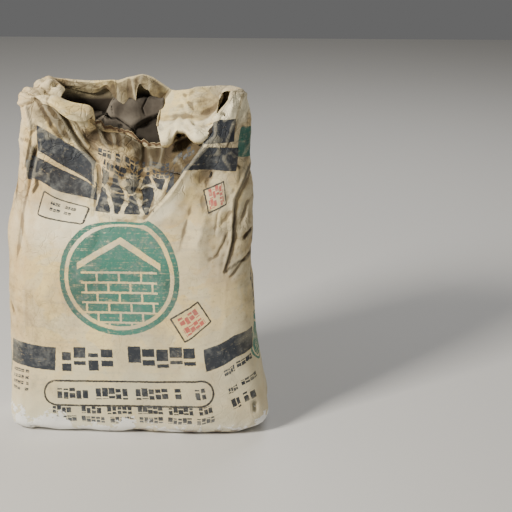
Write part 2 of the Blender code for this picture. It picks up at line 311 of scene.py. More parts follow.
# A box with rounded corners: the unit square's outline by the place around it, pulled in to a
# superellipse, times the half width and half depth at that height
def bodySection(at, height):
    gusset = sackShape["gussetWidth"]
    reach = np.abs(at)
    beyondGusset = np.where(reach > halfFace + gusset, (tubeRound / 2 - reach) / halfFace, 1.0)
    across = np.where(reach < halfFace, reach / halfFace, beyondGusset)
    deep = np.clip((reach - halfFace) / gusset, 0, 1) * 2 - 1
    stations = sackShape["body"]
    square = through(stations, 3, height)
    shrink = (np.abs(across) ** square + np.abs(deep) ** square) ** (-1 / square)
    radius = sackShape["bottomRadius"]
    rise = np.clip(height / radius, 0, 1)
    tuck = radius * (1 - np.sqrt(1 - (1 - rise) ** 2))
    x = np.sign(at) * across * shrink * (through(stations, 1, height) - tuck)
    y = deep * shrink * (through(stations, 2, height) - tuck)
    return x + through(stations, 4, height), y


# The wall up to the ridge: the body's section, which leans over to the ridge above a height
def wallPoints(at, height):
    x, y = bodySection(at, height)
    start = sackShape["leanStart"]
    ridge = sackShape["ridge"]
    lean = smoothRamp(height, start, aroundTube(ridge, 3, at) - start)
    x = x * (1 - lean) + aroundTube(ridge, 1, at) * lean
    y = y * (1 - lean) + aroundTube(ridge, 2, at) * lean
    return np.stack([x, y, height], axis=-1)


# The place around the tube of the fold that the right panel makes over the sunken paper
def foldPlace(height):
    return np.interp(height, sackShape["sagFoldHeights"], sackShape["sagFoldPlaces"])


# 1 on the sunken side of that fold and 0 on the panel
def behindFold(at, height):
    return np.clip((foldPlace(height) - at) / sackShape["sagFoldBlend"] + 0.5, 0, 1)


# How high a point of the wall is on the flat paper: its height and the paper sunk below it
def paperHeight(at, height):
    start, full = sackShape["sagStart"], sackShape["sagFull"]
    sunk = ramp(height, start, full - start) ** sackShape["sagPower"]
    stations = sackShape["sag"]
    depth = np.maximum(through(stations, 1, np.clip(at, stations[0][0], stations[-1][0])), 0)
    beyond = np.clip(at - sackShape["pullStart"], 0, sackShape["pullReach"]) * (at < sackShape["pullEnd"])
    pull = beyond * (sackShape["pullSlope"] + sackShape["pullGrowth"] * beyond)
    low, high = sackShape["pullFade"]
    return height + depth * sunk * behindFold(at, height) - pull * ramp(height, high, low - high)


# Rows of points and of paper heights from the floor's edge up to the ridge, on to the rim, and
# over it: the paper beyond the rim bends round a small radius and then runs straight on
def sackRows(at):
    radius, start = sackShape["bottomRadius"], sackShape["leanStart"]
    ridgeHeight = aroundTube(sackShape["ridge"], 3, at)
    turns = np.arange(sackGrid["cornerRows"]) / sackGrid["cornerRows"] * math.pi / 2
    heights = [np.full_like(at, radius * (1 - math.cos(turn))) for turn in turns]
    steps = np.arange(sackGrid["bodyRows"]) / sackGrid["bodyRows"]
    heights += [np.full_like(at, radius + (start - radius) * step) for step in steps]
    steps = np.linspace(0, 1, sackGrid["leanRows"] + 1)
    heights += [start + (ridgeHeight - start) * step for step in steps]
    height = np.array(heights)
    places = np.broadcast_to(at, height.shape)
    points = list(wallPoints(places, height))
    paper = list(paperHeight(places, height))

    mouth = sackShape["mouth"]
    rim, middle, end = (
        np.stack([aroundTube(mouth, column + axis, at, calm=True) for axis in range(3)], axis=-1)
        for column in (2, 5, 8)
    )
    rimPaper = aroundTube(mouth, 1, at, calm=True)
    ridge, ridgePaper = points[-1], paper[-1]
    for step in np.linspace(0, 1, sackGrid["dentRows"] + 1)[1:]:
        points.append(ridge + (rim - ridge) * step)
        paper.append(ridgePaper + (rimPaper - ridgePaper) * step)

    teeth = sum(tall * softNoise(at, at * 0, cell, seed) for tall, cell, seed in sackShape["teeth"])
    place, halfWidth, tall = sackShape["scrap"]
    teeth = np.maximum(teeth, sackShape["teethLeast"]) + tall * tent(at, place, halfWidth)
    end[:, 2] += teeth * between(at, *sackShape["tear"])
    rising = np.array([0.0, 0.0, sackShape["foldRise"]])
    curled = between(at, *sackShape["curl"])[:, None]
    passing = (end - rim) / 2
    leaving = (end - middle) * (1 - sackShape["curlSlowing"] * curled)
    leaving = leaving + np.array(sackShape["curlTurn"]) * curled
    for step in (np.arange(sackGrid["flapRows"]) + 1) / sackGrid["flapRows"]:
        if step <= 0.5:
            point = hermite(rim, rising, middle, passing, step * 2)
        else:
            point = hermite(middle, passing, end, leaving, step * 2 - 1)
        paper.append(paper[-1] + np.linalg.norm(point - points[-1], axis=-1))
        points.append(point)
    return np.array(points), np.array(paper)


# How far the padded stretches of the folded paper swell: about a half round along the paper and
# across it
def pillowHeights(at, along):
    total = np.zeros_like(at)
    for place, halfWidth, start, stop, height in sackShape["pillows"]:
        share = ramp(along, start, stop - start)
        across = np.clip(1 - ((at - place) / halfWidth) ** 2, 0, 1)
        total = np.maximum(total, height * (4 * share * (1 - share)) ** 0.9 * across ** 0.8)
    return total


# Square to the surface at each point of the rows, pointing out of the tube
def outward(rows):
    along = np.roll(rows, -1, axis=1) - np.roll(rows, 1, axis=1)
    across = np.cross(along, np.gradient(rows, axis=0))
    return across / np.maximum(np.linalg.norm(across, axis=-1, keepdims=True), 1e-12)


# A mesh from rows of points around the tube: the rows are joined into a closed shell, whose first
# and last row each close on a middle point. The paper map gives each corner its place on the flat
# paper, and the named attributes are stored on the points.
def shellMesh(name, rows, places, paper, ends, attributes):
    count, around = rows.shape[:2]
    points = np.concatenate([rows.reshape(-1, 3), np.array(ends)])
    low = np.arange(count - 1)[:, None] * around + np.arange(around)
    turned = np.roll(np.arange(around), -1)
    lowNext = np.arange(count - 1)[:, None] * around + turned
    quads = np.stack([low, lowNext, lowNext + around, low + around], axis=-1).reshape(-1, 4)
    first = np.stack([turned, np.arange(around), np.full(around, count * around)], axis=-1)
    top = (count - 1) * around
    last = np.stack(
        [top + np.arange(around), top + turned, np.full(around, count * around + 1)], axis=-1
    )
    corners = np.concatenate([quads.ravel(), first.ravel(), last.ravel()])
    sizes = np.concatenate([np.full(len(quads), 4), np.full(2 * around, 3)])
    mesh = bpy.data.meshes.new(name)
    mesh.vertices.add(len(points))
    mesh.vertices.foreach_set("co", points.astype(np.float32).ravel())
    mesh.loops.add(len(corners))
    mesh.loops.foreach_set("vertex_index", corners.astype(np.int32))
    mesh.polygons.add(len(sizes))
    mesh.polygons.foreach_set("loop_start", (np.cumsum(sizes) - sizes).astype(np.int32))
    mesh.update(calc_edges=True)
    mesh.validate()

    placeEnd = places[0] + tubeRound
    leftRight = np.stack([places, np.append(places[1:], placeEnd)], axis=-1)
    u = np.broadcast_to(leftRight[None, :, [0, 1, 1, 0]], (count - 1, around, 4)).reshape(-1)
    v = np.stack(
        [paper[:-1], np.roll(paper[:-1], -1, axis=1), np.roll(paper[1:], -1, axis=1), paper[1:]],
        axis=-1,
    ).reshape(-1)
    middle = leftRight.mean(axis=1)
    u = np.concatenate(
        [
            u,
            np.stack([leftRight[:, 1], leftRight[:, 0], middle], axis=-1).ravel(),
            np.stack([leftRight[:, 0], leftRight[:, 1], middle], axis=-1).ravel(),
        ]
    )
    v = np.concatenate([v, np.repeat(paper[0], 3), np.repeat(paper[-1], 3)])
    layer = mesh.uv_layers.new(name="paper")
    layer.data.foreach_set("uv", np.stack([u, v], axis=-1).astype(np.float32).ravel())
    for attributeName, values in attributes.items():
        attribute = mesh.attributes.new(attributeName, "FLOAT", "POINT")
        padded = np.append(values.ravel(), [values[0].mean(), values[-1].mean()])
        attribute.data.foreach_set("value", padded.astype(np.float32))
    mesh.shade_smooth()
    made = bpy.data.objects.new(name, mesh)
    bpy.context.scene.collection.objects.link(made)
    return made


# The places of the columns around the tube: fine across the front and the flap, wider elsewhere
def columnPlaces():
    reach = sackGrid["frontReach"]
    at = np.linspace(-reach, tubeRound - reach, sackGrid["columnSamples"])
    middle = (at[1:] + at[:-1]) / 2
    spacing = np.where(middle < reach, sackGrid["frontStep"], sackGrid["sideStep"])
    inFlap = (middle > sackGrid["flapFrom"]) & (middle < sackGrid["flapTo"])
    spacing[inFlap] = sackGrid["flapStep"]
    passed = np.concatenate([[0.0], np.cumsum(np.diff(at) / spacing)])
    count = round(passed[-1])
    return np.interp(np.arange(count) * passed[-1] / count, passed, at)


latticeRows = 64


# The cells of a lattice that closes on itself around the tube: how many there are, each place's
# position counted in cells, and the cell it is in
def latticeCells(u, v, cell):
    across = max(round(tubeRound / cell), 1)
    x, y = u / tubeRound * across, v / cell
    return across, x, y, np.floor(x).astype(int), np.floor(y).astype(int)


# Smooth random waves between -1 and 1: random values on the lattice, joined by smooth steps
def softNoise(u, v, cell, seed):
    across, x, y, i, j = latticeCells(u, v, cell)
    lattice = np.random.default_rng(seed).random((across, latticeRows)) * 2 - 1
    shareX, shareY = smoothRamp(x, i, 1), smoothRamp(y, j, 1)

    def level(row):
        row = row % latticeRows
        return lattice[i % across, row] * (1 - shareX) + lattice[(i + 1) % across, row] * shareX

    return level(j) * (1 - shareY) + level(j + 1) * shareY


facetShape = {
    "rise": 0.5,  # how much the planes differ in height
    "tilt": 1.3,
    "dish": 0.45,
    "level": 0.05,
    "scale": 1.8,
}


# Flat facets that meet in sharp ridges: each lattice cell has one tilted, slightly dished plane
# about a random point, and the lowest of the planes near a place is its height, from about -1 to 1
def facets(u, v, cell, seed):
    across, x, y, i, j = latticeCells(u, v, cell)
    random = np.random.default_rng(seed).random((5, across, latticeRows))
    rise, tilt, dish = facetShape["rise"], facetShape["tilt"], facetShape["dish"]
    lowest = np.full(np.shape(x), np.inf)
    for stepX in (-2, -1, 0, 1, 2):
        for stepY in (-2, -1, 0, 1, 2):
            near = random[:, (i + stepX) % across, (j + stepY) % latticeRows]
            dx = x - (i + stepX + near[0])
            dy = y - (j + stepY + near[1])
            plane = rise * near[2] + tilt * (dx * (near[3] - 0.5) + dy * (near[4] - 0.5))
            lowest = np.minimum(lowest, plane + dish * (dx * dx + dy * dy))
    return (lowest + facetShape["level"]) * facetShape["scale"]


# The folds that the front shows, drawn on its view in x and z. Each has the height and the width in
# mm on the left of its line and on the right, seen along it, how much of it fades in at its start
# and out at its end, and its points.
frontFolds = (
    # the fold between the left panel and the sunken middle
    (-4, 18, 6, 36, 0.0, 0.3, ((-0.132, 0.612), (-0.108, 0.577), (-0.084, 0.534), (-0.057, 0.506),
                               (-0.055, 0.476), (-0.064, 0.440), (-0.066, 0.415))),
    (-5, 9, -5, 9, 0.0, 0.3, ((-0.120, 0.612), (-0.077, 0.552), (-0.048, 0.516))),
    (4, 8, 4, 8, 0.1, 0.3, ((-0.104, 0.606), (-0.064, 0.560), (-0.034, 0.515))),
    (-3, 8, -3, 8, 0.1, 0.4, ((-0.092, 0.596), (-0.050, 0.553), (-0.020, 0.505))),
    (-4, 20, -4, 20, 0.3, 0.5, ((-0.046, 0.410), (-0.058, 0.372), (-0.088, 0.335))),
    # the fold between the right panel and the sunken middle
    (8, 36, -6, 20, 0.0, 0.3, ((0.142, 0.592), (0.138, 0.556), (0.120, 0.535), (0.091, 0.498),
                               (0.068, 0.463), (0.042, 0.432), (0.018, 0.405))),
    (-4, 7, -4, 7, 0.1, 0.4, ((0.145, 0.580), (0.128, 0.536))),
    # wrinkles across the sunken middle
    (-4, 8, -4, 8, 0.3, 0.3, ((-0.050, 0.508), (-0.018, 0.492), (0.024, 0.478), (0.070, 0.490))),
    (5, 10, -3, 6, 0.3, 0.3, ((-0.045, 0.478), (-0.012, 0.470), (0.020, 0.458), (0.060, 0.466))),
    (-4, 8, -4, 8, 0.3, 0.3, ((-0.058, 0.462), (-0.030, 0.446), (0.004, 0.440))),
    (4, 8, -4, 6, 0.3, 0.3, ((-0.020, 0.452), (0.014, 0.436), (0.040, 0.444))),
    (3, 8, 3, 8, 0.3, 0.3, ((-0.060, 0.430), (-0.030, 0.420), (0.008, 0.414))),
    # upright folds under the torn edge
    (-4, 9, -4, 9, 0.0, 0.5, ((0.016, 0.530), (0.021, 0.490))),
    (-2, 7, -2, 7, 0.0, 0.5, ((-0.028, 0.550), (-0.022, 0.510))),
    (2, 8, 2, 8, 0.0, 0.5, ((0.050, 0.520), (0.046, 0.485))),
    # the left edge
    (-3, 6, -3, 6, 0.3, 0.3, ((-0.170, 0.550), (-0.153, 0.570))),
    (-3, 5, -3, 5, 0.3, 0.3, ((-0.196, 0.540), (-0.164, 0.543))),
    (-9, 9, 2, 14, 0.2, 0.3, ((-0.156, 0.545), (-0.170, 0.507), (-0.178, 0.470), (-0.186, 0.440))),
    (-7, 9, -4, 14, 0.1, 0.4, ((-0.166, 0.618), (-0.150, 0.600), (-0.136, 0.574), (-0.120, 0.548),
                               (-0.104, 0.528))),
    (4, 12, 4, 12, 0.2, 0.3, ((-0.176, 0.612), (-0.170, 0.580), (-0.160, 0.548))),
    (-4, 7, -4, 7, 0.2, 0.3, ((-0.192, 0.606), (-0.184, 0.586), (-0.186, 0.560))),
    (5, 9, -3, 6, 0.2, 0.3, ((-0.200, 0.590), (-0.178, 0.600), (-0.160, 0.612))),
    # a hollow under the cuff's end
    (-6, 16, -6, 16, 0.2, 0.3, ((-0.090, 0.600), (-0.078, 0.568), (-0.062, 0.535))),
    (-5, 15, -5, 15, 0.3, 0.3, ((-0.170, 0.490), (-0.187, 0.429), (-0.197, 0.365), (-0.209, 0.298))),
    (-3, 8, -3, 8, 0.3, 0.3, ((-0.225, 0.270), (-0.212, 0.225))),
    # the right panel and edge
    (-3, 6, 3, 9, 0.1, 0.3, ((0.190, 0.618), (0.178, 0.586), (0.161, 0.537))),
    (4, 9, -2, 5, 0.2, 0.3, ((0.168, 0.610), (0.160, 0.590), (0.152, 0.575))),
    (-3, 9, 3, 12, 0.1, 0.1, ((0.204, 0.500), (0.190, 0.470), (0.176, 0.442), (0.174, 0.400),
                              (0.173, 0.375), (0.166, 0.345), (0.158, 0.318))),
    (3, 7, -2, 6, 0.2, 0.2, ((0.198, 0.440), (0.192, 0.400), (0.200, 0.372))),
    (-2, 5, -2, 7, 0.2, 0.3, ((0.176, 0.430), (0.150, 0.400), (0.132, 0.392))),
    (-2, 7, -2, 4, 0.2, 0.3, ((0.168, 0.395), (0.146, 0.350), (0.128, 0.340))),
    (2, 9, -2, 5, 0.2, 0.3, ((0.160, 0.440), (0.148, 0.420), (0.144, 0.380))),
    (-2, 5, -2, 8, 0.2, 0.3, ((0.206, 0.450), (0.186, 0.405), (0.180, 0.370))),
    (-4, 5, -4, 5, 0.2, 0.2, ((0.204, 0.390), (0.190, 0.372))),
    (-5, 6, 2, 8, 0.2, 0.2, ((0.207, 0.352), (0.190, 0.340), (0.164, 0.306))),
    (-5, 5, -5, 5, 0.2, 0.2, ((0.208, 0.320), (0.203, 0.285))),
    (-6, 28, -6, 28, 0.3, 0.4, ((0.110, 0.460), (0.091, 0.396), (0.078, 0.345))),
    (4, 20, 4, 20, 0.3, 0.4, ((0.130, 0.425), (0.107, 0.341))),
    (-4, 20, -4, 20, 0.3, 0.4, ((0.146, 0.515), (0.122, 0.450), (0.120, 0.400))),
    (-7, 4, -7, 4, 0.2, 0.2, ((0.209, 0.070), (0.211, 0.048))),
    (-4, 6, 2, 6, 0.2, 0.2, ((0.203, 0.014), (0.216, 0.022), (0.231, 0.036))),
)


# The folds of the paper beyond the rim, in the same form, drawn on it by the place around the tube
# and the length of paper beyond the rim
mouthFolds = (
    # the big flap: slanting folds above its crease, ridges out to its two ends, and a dimple
    (-4, 12, -4, 12, 0.1, 0.3, ((0.366, 0.026), (0.396, 0.050), (0.420, 0.064))),
    (3, 14, 3, 14, 0.3, 0.3, ((0.392, 0.014), (0.440, 0.028), (0.484, 0.034))),
    (-2, 16, 2, 16, 0.3, 0.3, ((0.470, 0.010), (0.440, 0.052), (0.426, 0.066))),
    (4, 13, 4, 13, 0.2, 0.1, ((0.456, 0.074), (0.477, 0.098), (0.484, 0.126))),
    (4, 13, 4, 13, 0.2, 0.1, ((0.452, 0.074), (0.432, 0.100), (0.424, 0.126))),
    (-7, 7, -7, 7, 0.3, 0.3, ((0.434, 0.082), (0.429, 0.098))),
    (-3, 8, -3, 8, 0.3, 0.3, ((0.405, 0.078), (0.415, 0.104))),
    (-3, 8, -3, 8, 0.3, 0.3, ((0.497, 0.080), (0.490, 0.104))),
    # the cuff at the left
    (-3, 8, -3, 8, 0.2, 0.4, ((-0.186, 0.012), (-0.150, 0.024), (-0.112, 0.028))),
    (2, 7, 2, 7, 0.2, 0.4, ((-0.176, 0.022), (-0.140, 0.036))),
    # the rolled paper at the left
    (-6, 8, -6, 8, 0.2, 0.3, ((-0.380, 0.022), (-0.330, 0.040), (-0.272, 0.036))),
    (-4, 7, -4, 7, 0.2, 0.3, ((-0.362, 0.010), (-0.310, 0.018), (-0.262, 0.014))),
    (4, 8, 4, 8, 0.2, 0.3, ((-0.345, 0.030), (-0.300, 0.028))),
    # the strip at the back
    (2, 6, 2, 6, 0.2, 0.3, ((-0.500, 0.010), (-0.450, 0.013), (-0.410, 0.020))),
    (-3, 7, -3, 7, 0.2, 0.3, ((-0.495, 0.018), (-0.470, 0.010))),
)


foldBlend = 0.0025  # width over which the two sides of a fold blend
foldFlank = 1.3  # 1 gives a fold straight flanks, more gives hollow ones


# Each place's distance from a line through points, the side it lies on, which is positive on the
# left as seen along the line, and the share of the line passed there
def besideLine(x, y, points):
    line = np.array(points)
    runs = np.linalg.norm(np.diff(line, axis=0), axis=1)
    passed = np.concatenate([[0.0], np.cumsum(runs)])
    nearest = np.full(x.shape, np.inf)
    side, share = np.zeros_like(x), np.zeros_like(x)
    for start, stop, run, before in zip(line[:-1], line[1:], runs, passed):
        alongX, alongY = (stop - start) / run
        dx, dy = x - start[0], y - start[1]
        along = np.clip(dx * alongX + dy * alongY, 0, run)
        offX, offY = dx - along * alongX, dy - along * alongY
        distance = np.hypot(offX, offY)
        closer = distance < nearest
        nearest = np.where(closer, distance, nearest)
        side = np.where(closer, alongX * offY - alongY * offX, side)
        share = np.where(closer, (before + along) / passed[-1], share)
    return nearest, side, share


# Height above the surface that folds add at x, y: beside each line the height falls off to nothing
# at the width, and the two sides blend over the line
def foldHeights(x, y, folds):
    total = np.zeros_like(x)
    for leftHeight, leftWidth, rightHeight, rightWidth, fadeIn, fadeOut, points in folds:
        nearest, side, share = besideLine(x, y, points)
        leftPart = np.clip(side / foldBlend * 0.5 + 0.5, 0, 1)
        left = leftHeight * np.clip(1 - nearest * 1000 / leftWidth, 0, 1) ** foldFlank
        right = rightHeight * np.clip(1 - nearest * 1000 / rightWidth, 0, 1) ** foldFlank
        fade = np.clip(share / max(fadeIn, 1e-6), 0, 1) * np.clip((1 - share) / max(fadeOut, 1e-6), 0, 1)
        total += (right + (left - right) * leftPart) * fade / 1000
    return total


crumpleShape = {
    # parts of the bag that crumple in their own way. A ramp has its start and span, a round part has
    # its middle, half sizes and firmness, in x or the place around the tube and in height.
    "front": (0.33, -0.05),
    "upper": (0.36, 0.16),
    "foot": (0.06, -0.06),
    "standing": (0.002, 0.02),  # nothing crumples where the bag stands on the floor
    "middle": (0.002, 0.463, 0.080, 0.055, 1.6),
    "right": (0.165, 0.39, 0.08, 0.15, 1.4),
    "leftEar": (-0.26, 0.605, 0.15, 0.06, 1.6),
    "rightEar": (0.212, 0.590, 0.045, 0.05, 1.6),
    "flap": (0.35, 0.02, 0.515, 0.015),
    "gussetReach": 0.07,
    "waves": (0.10, 11, 2.2, 3.0),  # cell, seed, height in mm, and how much more in the upper part
    # facets: cell, seed, shift and stretch around the tube, stretch along it, and height in mm for
    # each part of the bag
    "facets": (
        (0.075, 12, 0.0, 1.0, 0.8, {"all": 1.8, "upper": 3.6, "gusset": 2.0}),
        (0.034, 13, 0.2, 1.0, 1.0, {"all": 1.1, "upper": 2.0, "gusset": 1.2, "foot": 2.2}),
        (0.014, 14, 0.0, 1.0, 1.0, {"all": 0.2, "upper": 0.7, "middle": 1.4, "foot": 0.8}),
        (0.026, 17, 0.0, 1.0, 1.5, {"middle": 4.0}),
        (0.030, 19, 0.0, 1.4, 1.0, {"leftEar": 6.0}),
        (0.019, 23, 0.0, 1.2, 1.0, {"rightEar": 4.0}),
        (0.050, 15, 0.4, 1.0, 1.0, {"all": -0.3, "upper": -2.5, "gusset": -1.2}),
        (0.011, 18, 0.1, 1.0, 1.0, {"right": 0.9}),
        (0.024, 20, 0.0, 1.0, 1.0, {"right": 1.8}),
    ),
    # the smoother stretches of the cuff's end and beside the flap: middle and reach around the tube,
    # firmness, start and span in height, amount
    "calmCuff": (-0.085, 0.04, 1.0, 0.50, 0.04, 1.0),
    "calmSide": (0.150, 0.020, 1.6, 0.545, 0.015, 1.3),
    "calming": 0.7,
    # the flat sack's long creases: height, reach, and cell, seed and level of the noise that wears them
    "longCrease": (0.0016, 0.012, 0.07, 16, 0.3),
    "gussetFold": (0.002, 0.006, 0.035),  # depth, how much more in the upper part, and reach
    "foldedCalm": (0.6, 0.32),  # how much smoother the folded paper is, and what the flap adds
}


# How far each point of the wall stands out from the smooth shape: the front's folds, the creases
# of the flat sack, the gussets' inward folds, and facets that grow towards the emptied top
def crumple(at, rows, folded, beyond):
    shape = crumpleShape
    x, z = rows[..., 0], rows[..., 2]
    v = z * (folded <= 0) + (z[-sackGrid["flapRows"] - 1] + beyond) * (folded > 0)
    side = np.abs(at)
    front = ramp(side, *shape["front"])
    parts = {
        "all": 1.0,
        "upper": ramp(z, *shape["upper"]),
        "foot": ramp(z, *shape["foot"]),
        "gusset": tent(side, gussetMiddle, shape["gussetReach"]),
        "middle": roundSpot(x, z, *shape["middle"]) * front,
        "right": roundSpot(x, z, *shape["right"]) * front,
        "leftEar": roundSpot(at, z, *shape["leftEar"]),
        "rightEar": roundSpot(at, z, *shape["rightEar"]) * front,
    }
    cell, seed, height, more = shape["waves"]
    rough = softNoise(at, v, cell, seed) * (height + more * parts["upper"]) / 1000
    for cell, seed, shift, stretch, stretchUp, heights in shape["facets"]:
        height = sum(share * parts[part] for part, share in heights.items())
        rough = rough + facets(at * stretch + shift, v * stretchUp, cell, seed) * height / 1000
    for name in ("calmCuff", "calmSide"):
        middle, reach, firm, start, span, amount = shape[name]
        calm = amount * tent(at, middle, reach, firm) * ramp(z, start, span) * front
        rough = rough * (1 - shape["calming"] * calm)

    lift = foldHeights(x, z, frontFolds) * front * (1 - folded)
    height, reach, cell, seed, level = shape["longCrease"]
    worn = np.clip(softNoise(at, z, cell, seed) + level, 0, 1)
    for place in (halfFace, halfFace + sackShape["gussetWidth"]):
        lift += height * worn * tent(side, place, reach)
    depth, more, reach = shape["gussetFold"]
    lift -= (depth + more * parts["upper"]) * tent(side, gussetMiddle, reach)
    calm, more = shape["foldedCalm"]
    flat = (calm + more * between(at, *shape["flap"])) * folded * (1 - parts["leftEar"])
    return (lift + rough) * ramp(z, *shape["standing"]) * (1 - flat)


# The share of the folded paper passed at each row: 0 at the rim, 1 at its end, negative below
def foldedShare(count):
    return 1 - (count - 1 - np.arange(count)[:, None]) / sackGrid["flapRows"]


# The sack's outside: the smooth rows, moved to the origin, stand out by the crumpling and the folds,
# lift off the floor in places, and swell where the folded paper is padded
def buildSack():
    places = columnPlaces()
    rows, paper = sackRows(fromFront(places))
    rows = rows - np.array(sackShape["middle"])
    at = np.broadcast_to(fromFront(places), rows.shape[:2])
    along = foldedShare(len(rows))
    folded = np.clip(along / sackShape["foldedBy"], 0, 1)
    beyond = paper - paper[-sackGrid["flapRows"] - 1]
    lift = crumple(at, rows, folded, beyond) + foldHeights(at, beyond, mouthFolds) * folded
    rows = rows + outward(rows) * lift[..., None]
    height, cell, seed, level, upTo = sackShape["footLift"]
    lifted = np.clip(softNoise(at, at * 0, cell, seed) + level, 0, 1)
    rows[..., 2] += height * lifted * ramp(rows[..., 2], upTo, -upTo)
    height, start, span, upTo = sackShape["cornerLift"]
    rows[..., 2] += height * smoothRamp(rows[..., 0], start, span) * ramp(rows[..., 2], upTo, -upTo)
    swelling = pillowHeights(at, along) * folded
    return places, rows + np.array(sackShape["pillowSide"]) * swelling[..., None], paper


# Rings from near the middle of the floor out to the first row of the wall, all at the row's height
def floorRings(firstRow, firstPaper, count):
    middle = firstRow.mean(axis=0)
    share = (np.arange(1, count + 1) / (count + 1))[:, None]
    rings = middle + (firstRow - middle)[None] * share[..., None]
    reach = np.linalg.norm(firstRow - middle, axis=-1)
    return rings, firstPaper[None] - (1 - share) * reach[None]


# The mean of each value and its neighbours up to some steps away, around the tube and along it
def blurred(values, steps):
    total = sum(np.roll(values, step, axis=1) for step in range(-steps, steps + 1))
    padded = np.concatenate([total[:1]] * steps + [total] + [total[-1:]] * steps)
    stack = sum(padded[step : step + len(values)] for step in range(2 * steps + 1))
    return stack / (2 * steps + 1) ** 2


# How far each point stands above the mean of its neighbours, in mm: ridges are positive
def creaseHeight(rows, steps):
    return ((rows - blurred(rows, steps)) * outward(rows)).sum(axis=-1) * 1000


places, outer, paper = buildSack()
flapStart = len(outer) - sackGrid["flapRows"]
shown = len(outer) - sackGrid["innerRows"]
inner = outer - outward(outer) * sackGrid["wall"]
rings, ringPaper = floorRings(outer[0], paper[0], sackGrid["floorRings"])
hiddenTop = inner[shown] * np.array(sackGrid["hiddenTop"])
hiddenEnd = outer[shown - 1] * np.array(sackGrid["hiddenEnd"]) + np.array([0.0, 0.0, sackGrid["hiddenFloor"]])
hidden = hiddenTop + (hiddenEnd - hiddenTop) * np.linspace(0, 1, sackGrid["hiddenRows"])[:, None, None]
rows = np.concatenate([rings, outer, inner[shown:][::-1], hidden])
hiddenPaper = np.repeat(paper[shown][None], sackGrid["hiddenRows"], axis=0)
paperRows = np.concatenate([ringPaper, paper, paper[shown:][::-1], hiddenPaper])
ends = [tuple(rings[0].mean(axis=0)), tuple(hidden[-1].mean(axis=0))]

